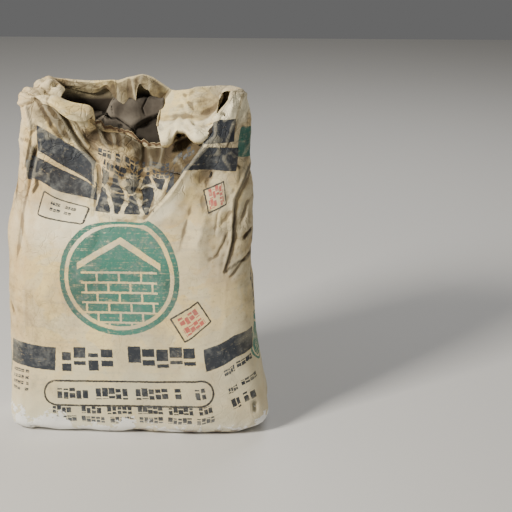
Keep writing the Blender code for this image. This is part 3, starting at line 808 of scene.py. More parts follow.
# Where the paper is stained or carries painted shade, negative, or is bleached or carries painted light,
# positive
stainAndShadeLook = {
    # on the front wall, soft spots of stains, painted shade and painted light: x, z, half width, half height,
    # amount
    "spots": (
        (0.012, 0.497, 0.110, 0.036, -0.42),
        (0.060, 0.428, 0.080, 0.030, 0.50),
        (-0.020, 0.436, 0.040, 0.024, 0.35),
        (-0.050, 0.548, 0.045, 0.020, -0.95),
        (-0.015, 0.538, 0.050, 0.018, -0.95),
        (0.025, 0.520, 0.040, 0.020, -0.80),
        (-0.172, 0.512, 0.012, 0.045, -0.75),
        (0.150, 0.400, 0.060, 0.070, -0.12),
        (-0.222, 0.380, 0.020, 0.240, -0.35),
        (0.205, 0.330, 0.030, 0.200, -0.30),
        (-0.100, 0.395, 0.140, 0.075, 0.85),
        (-0.175, 0.225, 0.090, 0.100, -0.26),
        (-0.157, 0.598, 0.036, 0.036, -0.35),
        (-0.180, 0.100, 0.070, 0.050, -0.30),
        (-0.030, 0.472, 0.034, 0.022, -0.60),
        (0.110, 0.300, 0.060, 0.100, 0.30),
        (-0.136, 0.590, 0.030, 0.020, -0.65),
        (-0.114, 0.562, 0.024, 0.040, -0.80),
        (0.016, 0.512, 0.014, 0.030, -0.50),
        (-0.200, 0.560, 0.030, 0.080, 0.50),
        (0.168, 0.600, 0.050, 0.040, 1.30),
        (-0.060, 0.470, 0.016, 0.060, 0.30),
    ),
    # the painted shadow under the flap, in the same form, which stops at the right panel's fold
    "flapShadow": (0.086, 0.528, 0.085, 0.056, -2.20),
    # on the folded paper, whole stretches, mostly painted shade on the strip at the back and the flap's
    # slope and painted light on the flap's lobes, the cuff's top and the rolled paper: first and last
    # place around the tube, start and end along the folded paper, amount
    "stretches": (
        (0.510, 0.740, 0.22, 1.10, -0.62),
        (0.510, 0.740, -0.20, 0.20, 0.35),
        (0.385, 0.508, 0.50, 0.98, 0.65),
        (0.355, 0.450, 0.02, 0.46, -0.42),
        (0.455, 0.508, 0.02, 0.44, 0.20),
        (-0.195, -0.085, -0.05, 0.30, 0.40),
        (-0.400, -0.235, 0.00, 1.10, 0.15),
    ),
    # painted shade and dirt in sharp creases, drawn on the front view's x and z: half width in mm, amount,
    # points
    "strokes": (
        (4.0, -0.80, ((-0.126, 0.613), (-0.108, 0.578), (-0.085, 0.533), (-0.060, 0.508), (-0.055, 0.481),
                      (-0.063, 0.455), (-0.063, 0.435))),
        (5.0, -0.35, ((-0.063, 0.435), (-0.047, 0.401), (-0.060, 0.368), (-0.082, 0.341))),
        (3.6, -0.75, ((-0.173, 0.597), (-0.165, 0.570), (-0.168, 0.545), (-0.181, 0.497))),
        (5.0, -1.20, ((-0.165, 0.530), (-0.161, 0.509), (-0.161, 0.466), (-0.168, 0.454))),
        (6.0, -0.80, ((-0.154, 0.615), (-0.139, 0.607), (-0.125, 0.593), (-0.134, 0.571))),
        (7.0, -0.60, ((-0.154, 0.615), (-0.128, 0.600), (-0.116, 0.563), (-0.100, 0.546))),
        (4.5, -0.60, ((-0.200, 0.472), (-0.201, 0.435), (-0.192, 0.409), (-0.187, 0.381), (-0.178, 0.355))),
        (5.0, -1.00, ((-0.065, 0.481), (-0.070, 0.443), (-0.067, 0.419))),
        (5.0, -0.80, ((0.020, 0.517), (0.018, 0.496))),
        (3.6, -1.00, ((0.200, 0.493), (0.190, 0.471), (0.175, 0.443), (0.173, 0.375), (0.158, 0.318))),
        (3.6, -0.90, ((0.189, 0.618), (0.178, 0.579), (0.162, 0.530), (0.184, 0.494))),
        (4.0, -1.10, ((0.201, 0.384), (0.193, 0.375))),
        (4.2, -1.60, ((0.209, 0.069), (0.211, 0.050))),
        (3.6, -1.00, ((0.202, 0.339), (0.182, 0.334), (0.158, 0.318))),
        (8.0, -0.32, ((0.108, 0.452), (0.094, 0.403), (0.079, 0.355))),
        (8.0, -0.32, ((0.128, 0.417), (0.107, 0.342))),
    ),
    "spotFirm": 1.3,
    "strokeFirm": 1.25,
    "front": (0.30, -0.03),
    # beside the right panel's fold, painted light on the panel and painted shade under it: how far
    # from it, reach, and amount on the panel and under it
    "onPanel": (0.018, 0.020, 0.55),
    "underPanel": (-0.005, 0.010, -0.80),
    "panelEnds": (0.395, 0.03, 0.590, 0.03),
    "stretchEdges": (0.006, 0.05),  # how softly the stretches end, around the tube and along it
    "stretchLap": -0.40,  # places left of this count from the other side for the stretches
    # the brown band at the torn edge, partly the edge's own brown and partly painted shade under it:
    # where around the tube, how far from the edge it fades out, how far down it starts, and how much of
    # it is left on the very edge
    "torn": (-0.095, 0.01, 0.125, 0.01),
    "tornReach": 0.008,
    "tornStart": 0.0012,
    "tornLeast": 0.2,
    "insideFrom": (-2.0, -8.0),  # the rows below the rim over which the inside gets its near-black colour, painted shade
    # the sunken middle, where the printing is bent
    "warp": (0.004, 0.470, 0.085, 0.065, 1.6),
    "warpReach": 0.2,
}


# The sum of soft round spots at each place
def spotTotal(x, z, spots):
    return sum(amount * roundSpot(x, z, *spot, stainAndShadeLook["spotFirm"]) for *spot, amount in spots)


# How stained or shaded each point is, painted shade negative and painted light positive: on the
# front the spots, the strokes and the painted light and shade beside the right panel's fold, and on
# the folded paper the stretches, all added up and kept between -1 and 1
def stainAndShadeAmounts(at, rows, along):
    x, z = rows[..., 0], rows[..., 2]
    total = spotTotal(x, z, stainAndShadeLook["spots"])
    total += spotTotal(x, z, (stainAndShadeLook["flapShadow"],)) * behindFold(at, z)
    for halfWidth, amount, points in stainAndShadeLook["strokes"]:
        distance = besideLine(x, z, points)[0] * 1000 / halfWidth
        total += amount * tent(distance, 0.0, 1 / stainAndShadeLook["strokeFirm"], stainAndShadeLook["strokeFirm"])
    low, lowSpan, high, highSpan = stainAndShadeLook["panelEnds"]
    ends = smoothRamp(z, low, lowSpan) * smoothRamp(z, high, -highSpan)
    for name in ("onPanel", "underPanel"):
        off, reach, amount = stainAndShadeLook[name]
        total += amount * tent(at - foldPlace(z), off, reach) * ends
    total *= ramp(np.abs(at), *stainAndShadeLook["front"]) * (along <= 0)

    lap = np.where(at < stainAndShadeLook["stretchLap"], at + tubeRound, at)
    acrossEdge, alongEdge = stainAndShadeLook["stretchEdges"]
    for first, last, start, stop, amount in stainAndShadeLook["stretches"]:
        across = np.clip(np.minimum(lap - first, last - lap) / acrossEdge, 0, 1)
        lengthways = np.clip(np.minimum(along - start, stop - along) / alongEdge, 0, 1)
        total += amount * across * lengthways
    return np.clip(total, -1, 1)


# A value for each point of the shell, from those of the wall's outside and inside: none on the
# floor and one value on the hidden rows
def shellValues(outside, inside, hiddenValue=0.0):
    flat = np.zeros((sackGrid["floorRings"], outside.shape[1]))
    deep = np.full((sackGrid["hiddenRows"], outside.shape[1]), hiddenValue)
    return np.concatenate([flat, outside, inside[shown:][::-1], deep])


# What the paper's material reads: stains with painted shade and light, bent printing, relief, the
# inside, which is painted dark as shade, and the torn edge
def sackAttributes():
    at = np.broadcast_to(fromFront(places), outer.shape[:2])
    nothing = np.zeros(at.shape)
    spacing = np.diff(np.append(places, places[0] + tubeRound))
    fineShare = np.where(spacing > sackGrid["coarseStep"], sackGrid["coarseShare"], 1.0)
    crease = creaseHeight(outer, sackGrid["creaseSteps"]) * fineShare
    broad = creaseHeight(outer, sackGrid["broadSteps"])
    belowRim = np.arange(len(outer))[:, None] - flapStart
    tip = paper[-1] - paper
    torn = between(at, *stainAndShadeLook["torn"]) * np.clip(1.2 - tip / stainAndShadeLook["tornReach"], 0, 1)
    torn = torn * np.clip(tip / stainAndShadeLook["tornStart"], stainAndShadeLook["tornLeast"], 1)
    warp = roundSpot(outer[..., 0], outer[..., 2], *stainAndShadeLook["warp"])
    return {
        "stainAndShade": shellValues(stainAndShadeAmounts(at, outer, foldedShare(len(outer))), nothing),
        "warp": shellValues(warp * (np.abs(at) < stainAndShadeLook["warpReach"]), nothing),
        "crease": shellValues(crease, -crease),
        "broad": shellValues(broad, -broad),
        "inside": shellValues(nothing, ramp(belowRim, *stainAndShadeLook["insideFrom"]) + nothing, 1.0),
        "torn": shellValues(torn, torn),
    }


sack = shellMesh("kraftSack", rows, places, paperRows, ends, sackAttributes())
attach(sack, "root")
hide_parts("paper_sack")
print("sack made", sum(len(p.vertices) - 2 for p in sack.data.polygons), "triangles")


# The cement: its level, how far its hidden body stays inside the paper, and the caked bank on top
cementShape = {
    "level": 0.490,
    "rings": 64,
    "wallRows": 8,
    "inset": 0.012,
    "middle": (0.0, 0.012),
    "backFrom": 0.36,  # columns this far round the tube are the back wall
    "backGap": 0.003,
    # the bank that rises to the back: its height at the front, its rise to the back at the left and
    # at the right, the y where the rise starts and its length, its middle x and half width
    "bankFront": 0.545,
    "bankRise": (0.024, 0.050),
    "bankSlope": (-0.005, 0.052),
    "bankSides": (-0.015, 0.085),
    # x and y of the torn edge of the paper, which the bank stays behind
    "bankEdge": ((-0.100, -0.066, -0.048, -0.007, 0.040, 0.080, 0.120),
                 (-0.022, -0.016, -0.010, 0.000, 0.004, 0.006, -0.008)),
    # cracks and steps in it, in the form of the folds, on the front view's x and z
    "cracks": (
        (-9, 3.0, -9, 3.0, 0.1, 0.0, ((-0.090, 0.550), (-0.0745, 0.5595), (-0.057, 0.569),
                                      (-0.031, 0.567), (-0.017, 0.5587), (-0.003, 0.5504))),
        (-5, 20, 2, 6, 0.2, 0.0, ((-0.090, 0.550), (-0.0745, 0.5595), (-0.057, 0.569), (-0.031, 0.567),
                                  (-0.017, 0.5587), (-0.003, 0.5504))),
        (-11, 4.0, -11, 4.0, 0.0, 0.1, ((-0.003, 0.5504), (0.012, 0.558), (0.0275, 0.5654),
                                        (0.046, 0.573))),
        (1, 6, -13, 30, 0.0, 0.0, ((-0.004, 0.549), (0.012, 0.556), (0.0275, 0.5634), (0.046, 0.571))),
        (-7, 2.6, -7, 2.6, 0.0, 0.3, ((-0.003, 0.5504), (-0.001, 0.541), (0.006, 0.528))),
        (-5, 2.6, -5, 2.6, 0.1, 0.3, ((-0.034, 0.604), (-0.042, 0.588), (-0.038, 0.568))),
        (-4, 2.2, -4, 2.2, 0.1, 0.3, ((0.020, 0.598), (0.012, 0.582), (0.018, 0.566))),
    ),
    # spots of painted shade: x, z, half width, half height, amount
    "shades": ((0.026, 0.543, 0.042, 0.027, 2.2), (0.010, 0.584, 0.060, 0.036, 0.70)),
    # heights in m, cells and seeds of the noises that bend the bank's edges, make the mounds and the
    # grain, and of the facets of its lumps
    "bend": (0.008, 0.03, 32),
    "mounds": (0.006, 0.04, 31),
    "grain": (0.0006, 0.004, 33),
    "lumps": (0.0030, 0.030, 34),
    "stepAt": (-0.060, 0.025),  # x where the bank's rise changes from the left's to the right's, span
    "dip": 0.020,  # how much lower the bank's front is at the right
    "dipX": (0.0, 0.03),
    "dipY": (0.01, 0.03),
    "bankEnds": 0.3,
    "edgeSpan": 0.014,
    "crackSide": (0.0, -0.8, 0.5),  # lumps and cracks move the surface this way
    "wallBlend": 0.06,  # share of the way to the middle on which the top comes away from the paper
    "bodyFrom": 3,  # the hidden body follows the paper from this row to some rows above the first shown
    "bodyAbove": 10,
    "floorGap": 0.006,
}


# Height of the cement over x and y: the level with gentle mounds, and on it a smooth bank that
# rises to the back and is split by cracks
def cementHeight(x, y):
    shape = cementShape
    size, cell, seed = shape["bend"]
    bend = size * softNoise(x * 1.5, y, cell, seed)
    low, high = shape["bankRise"]
    rise = low + (high - low) * smoothRamp(x + bend, *shape["stepAt"])
    bank = shape["bankFront"] + rise * smoothRamp(y + bend, *shape["bankSlope"])
    bank -= shape["dip"] * smoothRamp(x, *shape["dipX"]) * (1 - smoothRamp(y, *shape["dipY"]))
    middle, halfWidth = shape["bankSides"]
    share = smoothRamp(1 - np.abs(x - middle + bend) / halfWidth, 0.0, shape["bankEnds"])
    share = share * smoothRamp(y, np.interp(x, *shape["bankEdge"]), shape["edgeSpan"])
    size, cell, seed = shape["mounds"]
    height = shape["level"] + size * softNoise(x, y, cell, seed)
    size, cell, seed = shape["grain"]
    return height + (bank - height) * share + size * softNoise(x, y, cell, seed)


# The inside wall where it last rises through the cement's level, for each column
def levelRing(inside):
    level = cementShape["level"]
    above = inside[:, :, 2] > level
    lastBelow = above.shape[0] - 1 - np.argmax(~above[::-1], axis=0)
    column = np.arange(inside.shape[1])
    low, high = inside[lastBelow, column], inside[lastBelow + 1, column]
    share = (level - low[:, 2]) / (high[:, 2] - low[:, 2])
    return low + (high - low) * share[:, None]


# The cement's solid: its top runs from the paper to the middle in shrinking rings and stays clear
# of the back wall, and its hidden body goes down inside the paper
def buildCement(inside, body):
    ring = levelRing(inside)
    middle = np.array(cementShape["middle"])
    share = (np.arange(cementShape["rings"]) / cementShape["rings"])[:, None, None]
    flat = ring[None, :, :2] * (1 - share) + middle * share
    offWall = ramp(share[..., 0], 0.0, cementShape["wallBlend"])
    height = ring[None, :, 2] * (1 - offWall) + cementHeight(flat[..., 0], flat[..., 1]) * offWall
    top = np.concatenate([flat, height[..., None]], axis=-1)
    x, z = top[..., 0], top[..., 2]
    size, cell, seed = cementShape["lumps"]
    sunk = (foldHeights(x, z, cementShape["cracks"]) + size * facets(x, z, cell, seed)) * offWall
    top = top + sunk[..., None] * np.array(cementShape["crackSide"])
    back = inside[:, np.abs(fromFront(places)) > cementShape["backFrom"]]
    back = back[:, np.argsort(back[0, :, 0])]
    limit = np.interp(top[..., 0], back[0, :, 0], back[..., 1].min(axis=0) - cementShape["backGap"])
    top[..., 1] = np.minimum(top[..., 1], limit)
    inward = middle - body[..., :2]
    length = np.linalg.norm(inward, axis=-1, keepdims=True)
    body[..., :2] += inward / length * cementShape["inset"]
    body[0, :, 2] = np.maximum(body[0, :, 2], cementShape["floorGap"])
    return np.concatenate([body, top])


bodyRows = np.linspace(cementShape["bodyFrom"], shown + cementShape["bodyAbove"], cementShape["wallRows"])
cementRows = buildCement(inner[shown : flapStart + 1], inner[bodyRows.astype(int)])
cementEnds = [tuple(cementRows[0].mean(axis=0)), tuple(cementRows[-1].mean(axis=0))]
cementShades = np.clip(spotTotal(cementRows[..., 0], cementRows[..., 2], cementShape["shades"]), 0, 1)
cementMarks = {"crease": creaseHeight(cementRows, sackGrid["creaseSteps"]), "shade": cementShades}
cement = shellMesh("cementFill", cementRows, places, cementRows[..., 0] * 0, cementEnds, cementMarks)
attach(cement, "root")
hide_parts("cement_fill")
print("cement made", sum(len(p.vertices) - 2 for p in cement.data.polygons), "triangles")


# A value in a shader tree, which can be reckoned with: each sign adds one math node
class Value:
    def __init__(self, socket):
        self.socket = socket
        self.tree = socket.id_data

    def __add__(self, other):
        return reckon("ADD", self, other)

    def __radd__(self, other):
        return reckon("ADD", other, self)

    def __sub__(self, other):
        return reckon("SUBTRACT", self, other)

    def __rsub__(self, other):
        return reckon("SUBTRACT", other, self)

    def __mul__(self, other):
        return reckon("MULTIPLY", self, other)

    def __truediv__(self, other):
        return reckon("DIVIDE", self, other)

    def __lt__(self, other):
        return reckon("LESS_THAN", self, other)

    def __gt__(self, other):
        return reckon("GREATER_THAN", self, other)

    def __abs__(self):
        return reckon("ABSOLUTE", self)


# One shader node with its settings, and its inputs set to numbers or joined to values
def putNode(tree, kind, inputs=(), **settings):
    node = tree.nodes.new(kind)
    for name, value in settings.items():
        setattr(node, name, value)
    for name, value in dict(inputs).items():
        if isinstance(value, Value):
            tree.links.new(value.socket, node.inputs[name])
        else:
            node.inputs[name].default_value = value
    return node


# A math node in the tree of the first value that it reckons with
def reckon(operation, *values):
    tree = next(value.tree for value in values if isinstance(value, Value))
    return Value(putNode(tree, "ShaderNodeMath", dict(enumerate(values)), operation=operation).outputs[0])


# The same for vectors, where the first value isn't a constant
def vectorMath(operation, *values):
    inputs = dict(enumerate(values))
    node = putNode(values[0].tree, "ShaderNodeVectorMath", inputs, operation=operation)
    return Value(node.outputs["Vector"])


# A value carried from one range to another by a smooth step
def ramped(value, low, high, toLow=0.0, toHigh=1.0):
    inputs = {"Value": value, "From Min": low, "From Max": high, "To Min": toLow, "To Max": toHigh}
    settings = {"interpolation_type": "SMOOTHSTEP", "clamp": False}
    return Value(putNode(value.tree, "ShaderNodeMapRange", inputs, **settings).outputs[0])


# 1 below a limit and 0 above it, with a soft edge
def below(measure, limit, soft):
    return ramped(measure, limit - soft, limit + soft, 1.0, 0.0)


# One colour turned into another by a share
def mixed(first, second, share):
    inputs = {0: share, 6: first, 7: second}
    return Value(putNode(share.tree, "ShaderNodeMix", inputs, data_type="RGBA").outputs[2])


# Noise at a place, by its scale, detail, roughness and distortion
def noise(place, *sizes, output=0):
    inputs = dict(zip(("Vector", "Scale", "Detail", "Roughness", "Distortion"), (place, *sizes)))
    return Value(putNode(place.tree, "ShaderNodeTexNoise", inputs).outputs[output])


# Its colour, which is three noises at once
def noiseColour(place, *sizes):
    return noise(place, *sizes, output=1)


# The three numbers of a vector or of a colour
def parted(value, kind="XYZ"):
    node = putNode(value.tree, "ShaderNodeSeparate" + kind, {0: value})
    return [Value(socket) for socket in node.outputs]


# What a mesh attribute of that name says
def attribute(tree, name):
    return Value(putNode(tree, "ShaderNodeAttribute", attribute_name=name).outputs["Fac"])


# The place in the object's own space
def objectPlace(tree):
    return Value(putNode(tree, "ShaderNodeTexCoord").outputs["Object"])


# A node group whose sockets are all plain numbers: the formula gets the inputs by name and gives
# the outputs in order
def nodeGroup(name, formula, inputs, outputs):
    tree = bpy.data.node_groups.new(name, "ShaderNodeTree")
    for inOut, socketNames in (("INPUT", inputs), ("OUTPUT", outputs)):
        for socketName in socketNames:
            tree.interface.new_socket(socketName, in_out=inOut, socket_type="NodeSocketFloat")
    entry, leave = tree.nodes.new("NodeGroupInput"), tree.nodes.new("NodeGroupOutput")
    given = {socketName: Value(entry.outputs[socketName]) for socketName in inputs}
    for socketName, value in zip(outputs, formula(given)):
        tree.links.new(value.socket, leave.inputs[socketName])
    return tree


# A group placed in a tree. Its inputs are named as in the group, but with a small first letter.
def placeGroup(tree, group, output=0, **inputs):
    named = {name[0].upper() + name[1:]: value for name, value in inputs.items()}
    return Value(putNode(tree, "ShaderNodeGroup", named, node_tree=group).outputs[output])


# The place on the paper measured from a mark's own middle and turned with it:
# x = du cos + dv sin, y = dv cos - du sin
def localPlace(given):
    du = given["U"] - given["CentreU"]
    dv = given["V"] - given["CentreV"]
    cosine, sine = reckon("COSINE", given["Turn"]), reckon("SINE", given["Turn"])
    return dv * sine + du * cosine, dv * cosine - du * sine


# The root of x squared plus y squared
def hypotenuse(x, y):
    return reckon("SQRT", x * x + y * y)


# A printed box with round corners: its distance is that of a rounded rectangle, negative inside,
# and the ink fills it or follows its outline
def inkBox(given):
    x, y = localPlace(given)
    corner = given["Round"]
    beyondX = abs(x) - given["HalfU"] + corner
    beyondY = abs(y) - given["HalfV"] + corner
    outside = hypotenuse(reckon("MAXIMUM", beyondX, 0.0), reckon("MAXIMUM", beyondY, 0.0))
    inside = reckon("MINIMUM", reckon("MAXIMUM", beyondX, beyondY), 0.0)
    distance = outside + inside - corner
    fill = below(distance, 0.0, given["Soft"])
    return fill, below(abs(distance), given["Line"] * 0.5, given["Soft"])


# Where a place is in a row of cells: the cell's number, how far it is from the cell's middle, as a
# share of the cell, and whether it is in the row at all
def cellPlace(x, given):
    cells = x / given["Cell"]
    number = reckon("FLOOR", cells)
    return number, abs(cells - number - 0.5), abs(x) < given["HalfU"]


rowLook = {
    "blockHalf": 0.34,  # half width of a block, and what chance adds to it, as shares of its cell
    "blockMore": 0.12,
    "lower": 0.35,  # how much lower than the row chance makes a block
    "shift": 0.8,  # how far chance moves it up or down
    "slitReach": 0.8,  # how far from the row's middle its slit can be, and the slit's half height
    "slitHalf": 0.15,
    "word": 6.0,  # cells in a word with the gap after it
    "gap": 0.4,
    "missing": 0.06,
    "seedStep": 37.0,
}


# A row of small plain blocks in groups, as wide and high as lettering but without letters: each
# cell holds a block of random width and height with a slit through it, and some cells stay bare
def inkRow(given):
    x, y = localPlace(given)
    number, offMiddle, inRow = cellPlace(x, given)
    halfY, uneven, soft = given["HalfV"], given["Uneven"], given["Soft"]
    key = given["Seed"] * rowLook["seedStep"] + number
    chance = putNode(key.tree, "ShaderNodeTexWhiteNoise", {"W": key}, noise_dimensions="1D")
    red, green, blue = parted(Value(chance.outputs["Color"]), "Color")
    width = red * rowLook["blockMore"] + rowLook["blockHalf"]
    block = ramped(offMiddle, width, width + soft / given["Cell"], 1.0, 0.0)
    height = (green * uneven * -rowLook["lower"] + 1.0) * halfY
    lift = (red - 0.5) * halfY * uneven
    raised = abs(lift * -rowLook["shift"] + y)
    block = block * ramped(raised, height, height + soft, 1.0, 0.0)
    slitPlace = (green * (2 * rowLook["slitReach"]) - rowLook["slitReach"]) * halfY
    block = block * (1.0 - (abs(y - slitPlace) < halfY * rowLook["slitHalf"]))
    word = number / rowLook["word"]
    block = block * (word - reckon("FLOOR", word) > rowLook["gap"] - uneven)
    return (block * inRow * (blue > rowLook["missing"]),)


footHalf, tipHalf = 0.55, 0.13  # a triangle's half width at its foot and tip, as shares of its cell


# A band of heavy triangles that point up and down in turn: the ink is where the distance from the
# cell's middle is less than the triangle's half width at that height
def inkTriangles(given):
    x, y = localPlace(given)
    number, offMiddle, inRow = cellPlace(x, given)
    rise = y / given["HalfV"] * 0.5 + 0.5
    odd = abs(reckon("MODULO", number, 2.0))
    width = abs(rise - odd) * (tipHalf - footHalf) + footHalf
    block = ramped(offMiddle, width, width + given["Soft"] / given["Cell"], 1.0, 0.0)
    return (block * inRow * (abs(y) < given["HalfV"]),)


# Sizes of the medallion as shares of its radius
medallionLook = {
    "disc": 0.84,
    "ring": 0.95,
    "ringHalf": 0.045,
    "gableTop": 0.60,
    "gableSlope": 0.62,
    "gableHalf": 0.055,
    "gableReach": 0.68,
    "wallTop": 0.10,
    "wallReach": 0.62,
    "courseFrom": 0.86,  # the courses are counted from this far below the middle
    "courseHeight": 0.17,
    "brickLength": 0.36,
    "levelJoint": 0.10,  # half widths of the joints, as shares of a course and of a brick
    "uprightJoint": 0.045,
}


# A round printed medallion: a disc with a thin ring round it, and left bare in it a gable's two
# slopes over courses of bricks, whose upright joints shift by half a brick each course
def inkMedallion(given):
    look = medallionLook
    x, y = localPlace(given)
    x, y, soft = x / given["Radius"], y / given["Radius"], given["Soft"] / given["Radius"]
    out, sideways = hypotenuse(x, y), abs(x)
    ring = below(abs(out - look["ring"]), look["ringHalf"], soft)
    offSlope = abs(y - (sideways * -look["gableSlope"] + look["gableTop"]))
    gable = below(offSlope, look["gableHalf"], soft) * below(sideways, look["gableReach"], soft)
    course = (y + look["courseFrom"]) / look["courseHeight"]
    level = below(abs(course - reckon("FLOOR", course) - 0.5), look["levelJoint"], soft)
    shift = reckon("MODULO", reckon("FLOOR", course + 0.5), 2.0) * 0.5
    brick = x / look["brickLength"] + (shift + 10.0)
    upright = below(abs(brick - reckon("FLOOR", brick) - 0.5), look["uprightJoint"], soft)
    joints = reckon("MAXIMUM", level, upright) * below(y, look["wallTop"], soft)
    joints = joints * below(sideways, look["wallReach"], soft)
    bare = reckon("MAXIMUM", joints, gable)
    return (reckon("MAXIMUM", below(out, look["disc"], soft) * (1.0 - bare), ring),)


# Ink rubbed off, a little more on the ridges of creases: the worn share is where the rubbing, the
# ridge height and the amount together pass a limit
def inkWear(given):
    ridge = reckon("MINIMUM", reckon("MAXIMUM", given["Crease"], 0.0), 0.9)
    worn = given["Amount"] * 0.3 + (ridge * 0.06 + given["Rubbing"])
    return (given["Mask"] * (1.0 - ramped(worn, 0.56, 0.78, 0.0, 0.85)),)


# Fine dust in patches: a mask from noise at two sizes, cut off at a limit
def dust(given):
    limit = given["Limit"]
    place = objectPlace(limit.tree)
    large, small = noise(place, 30.0, 6.0, 0.68), noise(place, 120.0, 3.0, 0.6)
    return (ramped(small * 0.35 + large * 0.65, limit, limit + given["Spread"]),)


# Thin crooked creases: the borders of random cells whose places are bent by noise, shown in part
def creaseLines(given):
    tree = given["Scale"].tree
    place = objectPlace(tree)
    bend = 0.09
    bent = vectorMath("MULTIPLY_ADD", noiseColour(place, 14.0, 3.0, 0.6), (bend, bend, bend), place)
    cells = {"Vector": bent, "Scale": given["Scale"]}
    border = putNode(tree, "ShaderNodeTexVoronoi", cells, feature="DISTANCE_TO_EDGE").outputs["Distance"]
    line = ramped(Value(border), 0.0, given["Width"], 1.0, 0.0)
    return (line * ramped(noise(place, 11.0, 2.0), 0.42, 0.62),)


markInputs = ("U", "V", "CentreU", "CentreV", "Turn", "Soft")
groups = {
    "box": nodeGroup("inkBox", inkBox, (*markInputs, "HalfU", "HalfV", "Round", "Line"), ("Fill", "Outline")),
    "row": nodeGroup("inkRow", inkRow, (*markInputs, "HalfU", "HalfV", "Cell", "Seed", "Uneven"), ("Fill",)),
    "triangles": nodeGroup("inkTriangles", inkTriangles, (*markInputs, "HalfU", "HalfV", "Cell"), ("Fill",)),
    "medallion": nodeGroup("inkMedallion", inkMedallion, (*markInputs, "Radius"), ("Fill",)),
    "wear": nodeGroup("inkWear", inkWear, ("Mask", "Rubbing", "Crease", "Amount"), ("Mask",)),
    "dust": nodeGroup("dust", dust, ("Limit", "Spread"), ("Mask",)),
    "creaseLines": nodeGroup("creaseLines", creaseLines, ("Scale", "Width"), ("Mask",)),
}

# What is printed, in metres on the flat paper: u from the front's middle, v up from the floor
printLook = {
    "soft": 0.0005,
    "wobble": 0.0024,  # how far the ink's edges stray
    "warp": 0.018,  # how far the marks are bent in the sunken middle
    # middle u, middle v, half width, half height, turn in degrees
    "navyBars": (
        (-0.1225, 0.5505, 0.0595, 0.0225, -2.5),
        (-0.1290, 0.5020, 0.0690, 0.0190, 2.0),
        (0.1560, 0.5610, 0.0380, 0.0200, 0.0),
        (0.1440, 0.5150, 0.0620, 0.0200, -5.0),
        (-0.1850, 0.1575, 0.0540, 0.0225, -3.0),
        (-0.2040, 0.4930, 0.0080, 0.0170, 2.0),
        (0.1900, 0.1490, 0.0560, 0.0215, 0.0),
    ),
    # middle u, middle v, half width, half height, cell
    "wordBands": ((0.010, 0.5530, 0.062, 0.0140, 0.0240), (-0.012, 0.4910, 0.050, 0.0430, 0.0240)),
    # middle u, middle v, half width, half height, cell, turn in degrees
    "navyRows": (
        (0.020, 0.5980, 0.082, 0.0085, 0.0074, 0.0),
        (0.028, 0.5770, 0.078, 0.0085, 0.0074, 0.0),
        (-0.002, 0.1570, 0.120, 0.0200, 0.0240, 0.0),
        (-0.0075, 0.0880, 0.132, 0.0110, 0.0112, 0.0),
        (-0.004, 0.0540, 0.135, 0.0075, 0.0085, 0.0),
        (-0.002, 0.0340, 0.135, 0.0065, 0.0080, 0.0),
        (0.206, 0.1130, 0.034, 0.0055, 0.0075, 2.0),
        (0.206, 0.0780, 0.034, 0.0050, 0.0070, 2.0),
        (0.196, 0.0500, 0.034, 0.0095, 0.0120, 2.0),
        (-0.119, 0.4470, 0.026, 0.0038, 0.0052, -10.0),
        (-0.123, 0.4330, 0.022, 0.0034, 0.0075, -10.0),
        (-0.214, 0.1260, 0.018, 0.0030, 0.0050, 0.0),
        (-0.214, 0.1140, 0.018, 0.0030, 0.0050, 0.0),
        (-0.214, 0.1020, 0.018, 0.0030, 0.0050, 0.0),
        (-0.214, 0.0900, 0.018, 0.0030, 0.0050, 0.0),
        (0.285, 0.3400, 0.150, 0.0190, 0.0220, 90.0),
        (-0.285, 0.3400, 0.150, 0.0190, 0.0220, 90.0),
    ),
    # middle u, middle v, half width, half height, turn, corner radius, line width
    "blackFrames": (
        (-0.0075, 0.0880, 0.1470, 0.0250, 0.0, 0.0245, 0.0040),
        (-0.1210, 0.4370, 0.0470, 0.0255, -9.0, 0.0050, 0.0036),
        (0.1130, 0.2280, 0.0300, 0.0250, 30.0, 0.0010, 0.0032),
        (0.1570, 0.4490, 0.0220, 0.0200, 18.0, 0.0010, 0.0028),
    ),
    # middle u, middle v, half width, half height, turn, cell
    "redRows": (
        (0.1080, 0.2360, 0.0210, 0.0085, 30.0, 0.0100),
        (0.1185, 0.2180, 0.0210, 0.0085, 30.0, 0.0095),
        (0.1545, 0.4580, 0.0170, 0.0085, 18.0, 0.0075),
        (0.1590, 0.4410, 0.0170, 0.0080, 18.0, 0.0070),
    ),
    # middle u, middle v, half width, half height, turn in degrees
    "greenPatches": ((0.2400, 0.5350, 0.0340, 0.0260, -8.0),),
    # middle u, middle v, radius, turn in degrees
    "medallions": (
        (-0.0120, 0.3110, 0.1080, 0.0),
        (0.285, 0.1300, 0.045, 0.0),
        (-0.285, 0.1300, 0.045, 0.0),
    ),
    "navy": (0.034, 0.039, 0.048, 1.0),
    "black": (0.040, 0.036, 0.034, 1.0),
    "red": (0.52, 0.13, 0.10, 1.0),
    "green": (0.060, 0.200, 0.150, 1.0),
    "scuffed": (0.24, 0.245, 0.23, 1.0),
    "wear": {"green": 0.16, "red": 0.14, "black": 0.10, "navy": 0.02},
    "barCorner": 0.0008,
    "patchCorner": 0.0060,
    # how unevenly the blocks of a row stand: where its cells are wider than a limit, and elsewhere
    "wideCell": 0.018,
    "unevenWide": 1.0,
    "uneven": 0.3,
    "unevenRed": 0.6,
    "redSeed": 40.0,
    "seamSide": -0.25,  # a mark left of this u crosses the map's seam and is printed one lap on too
}

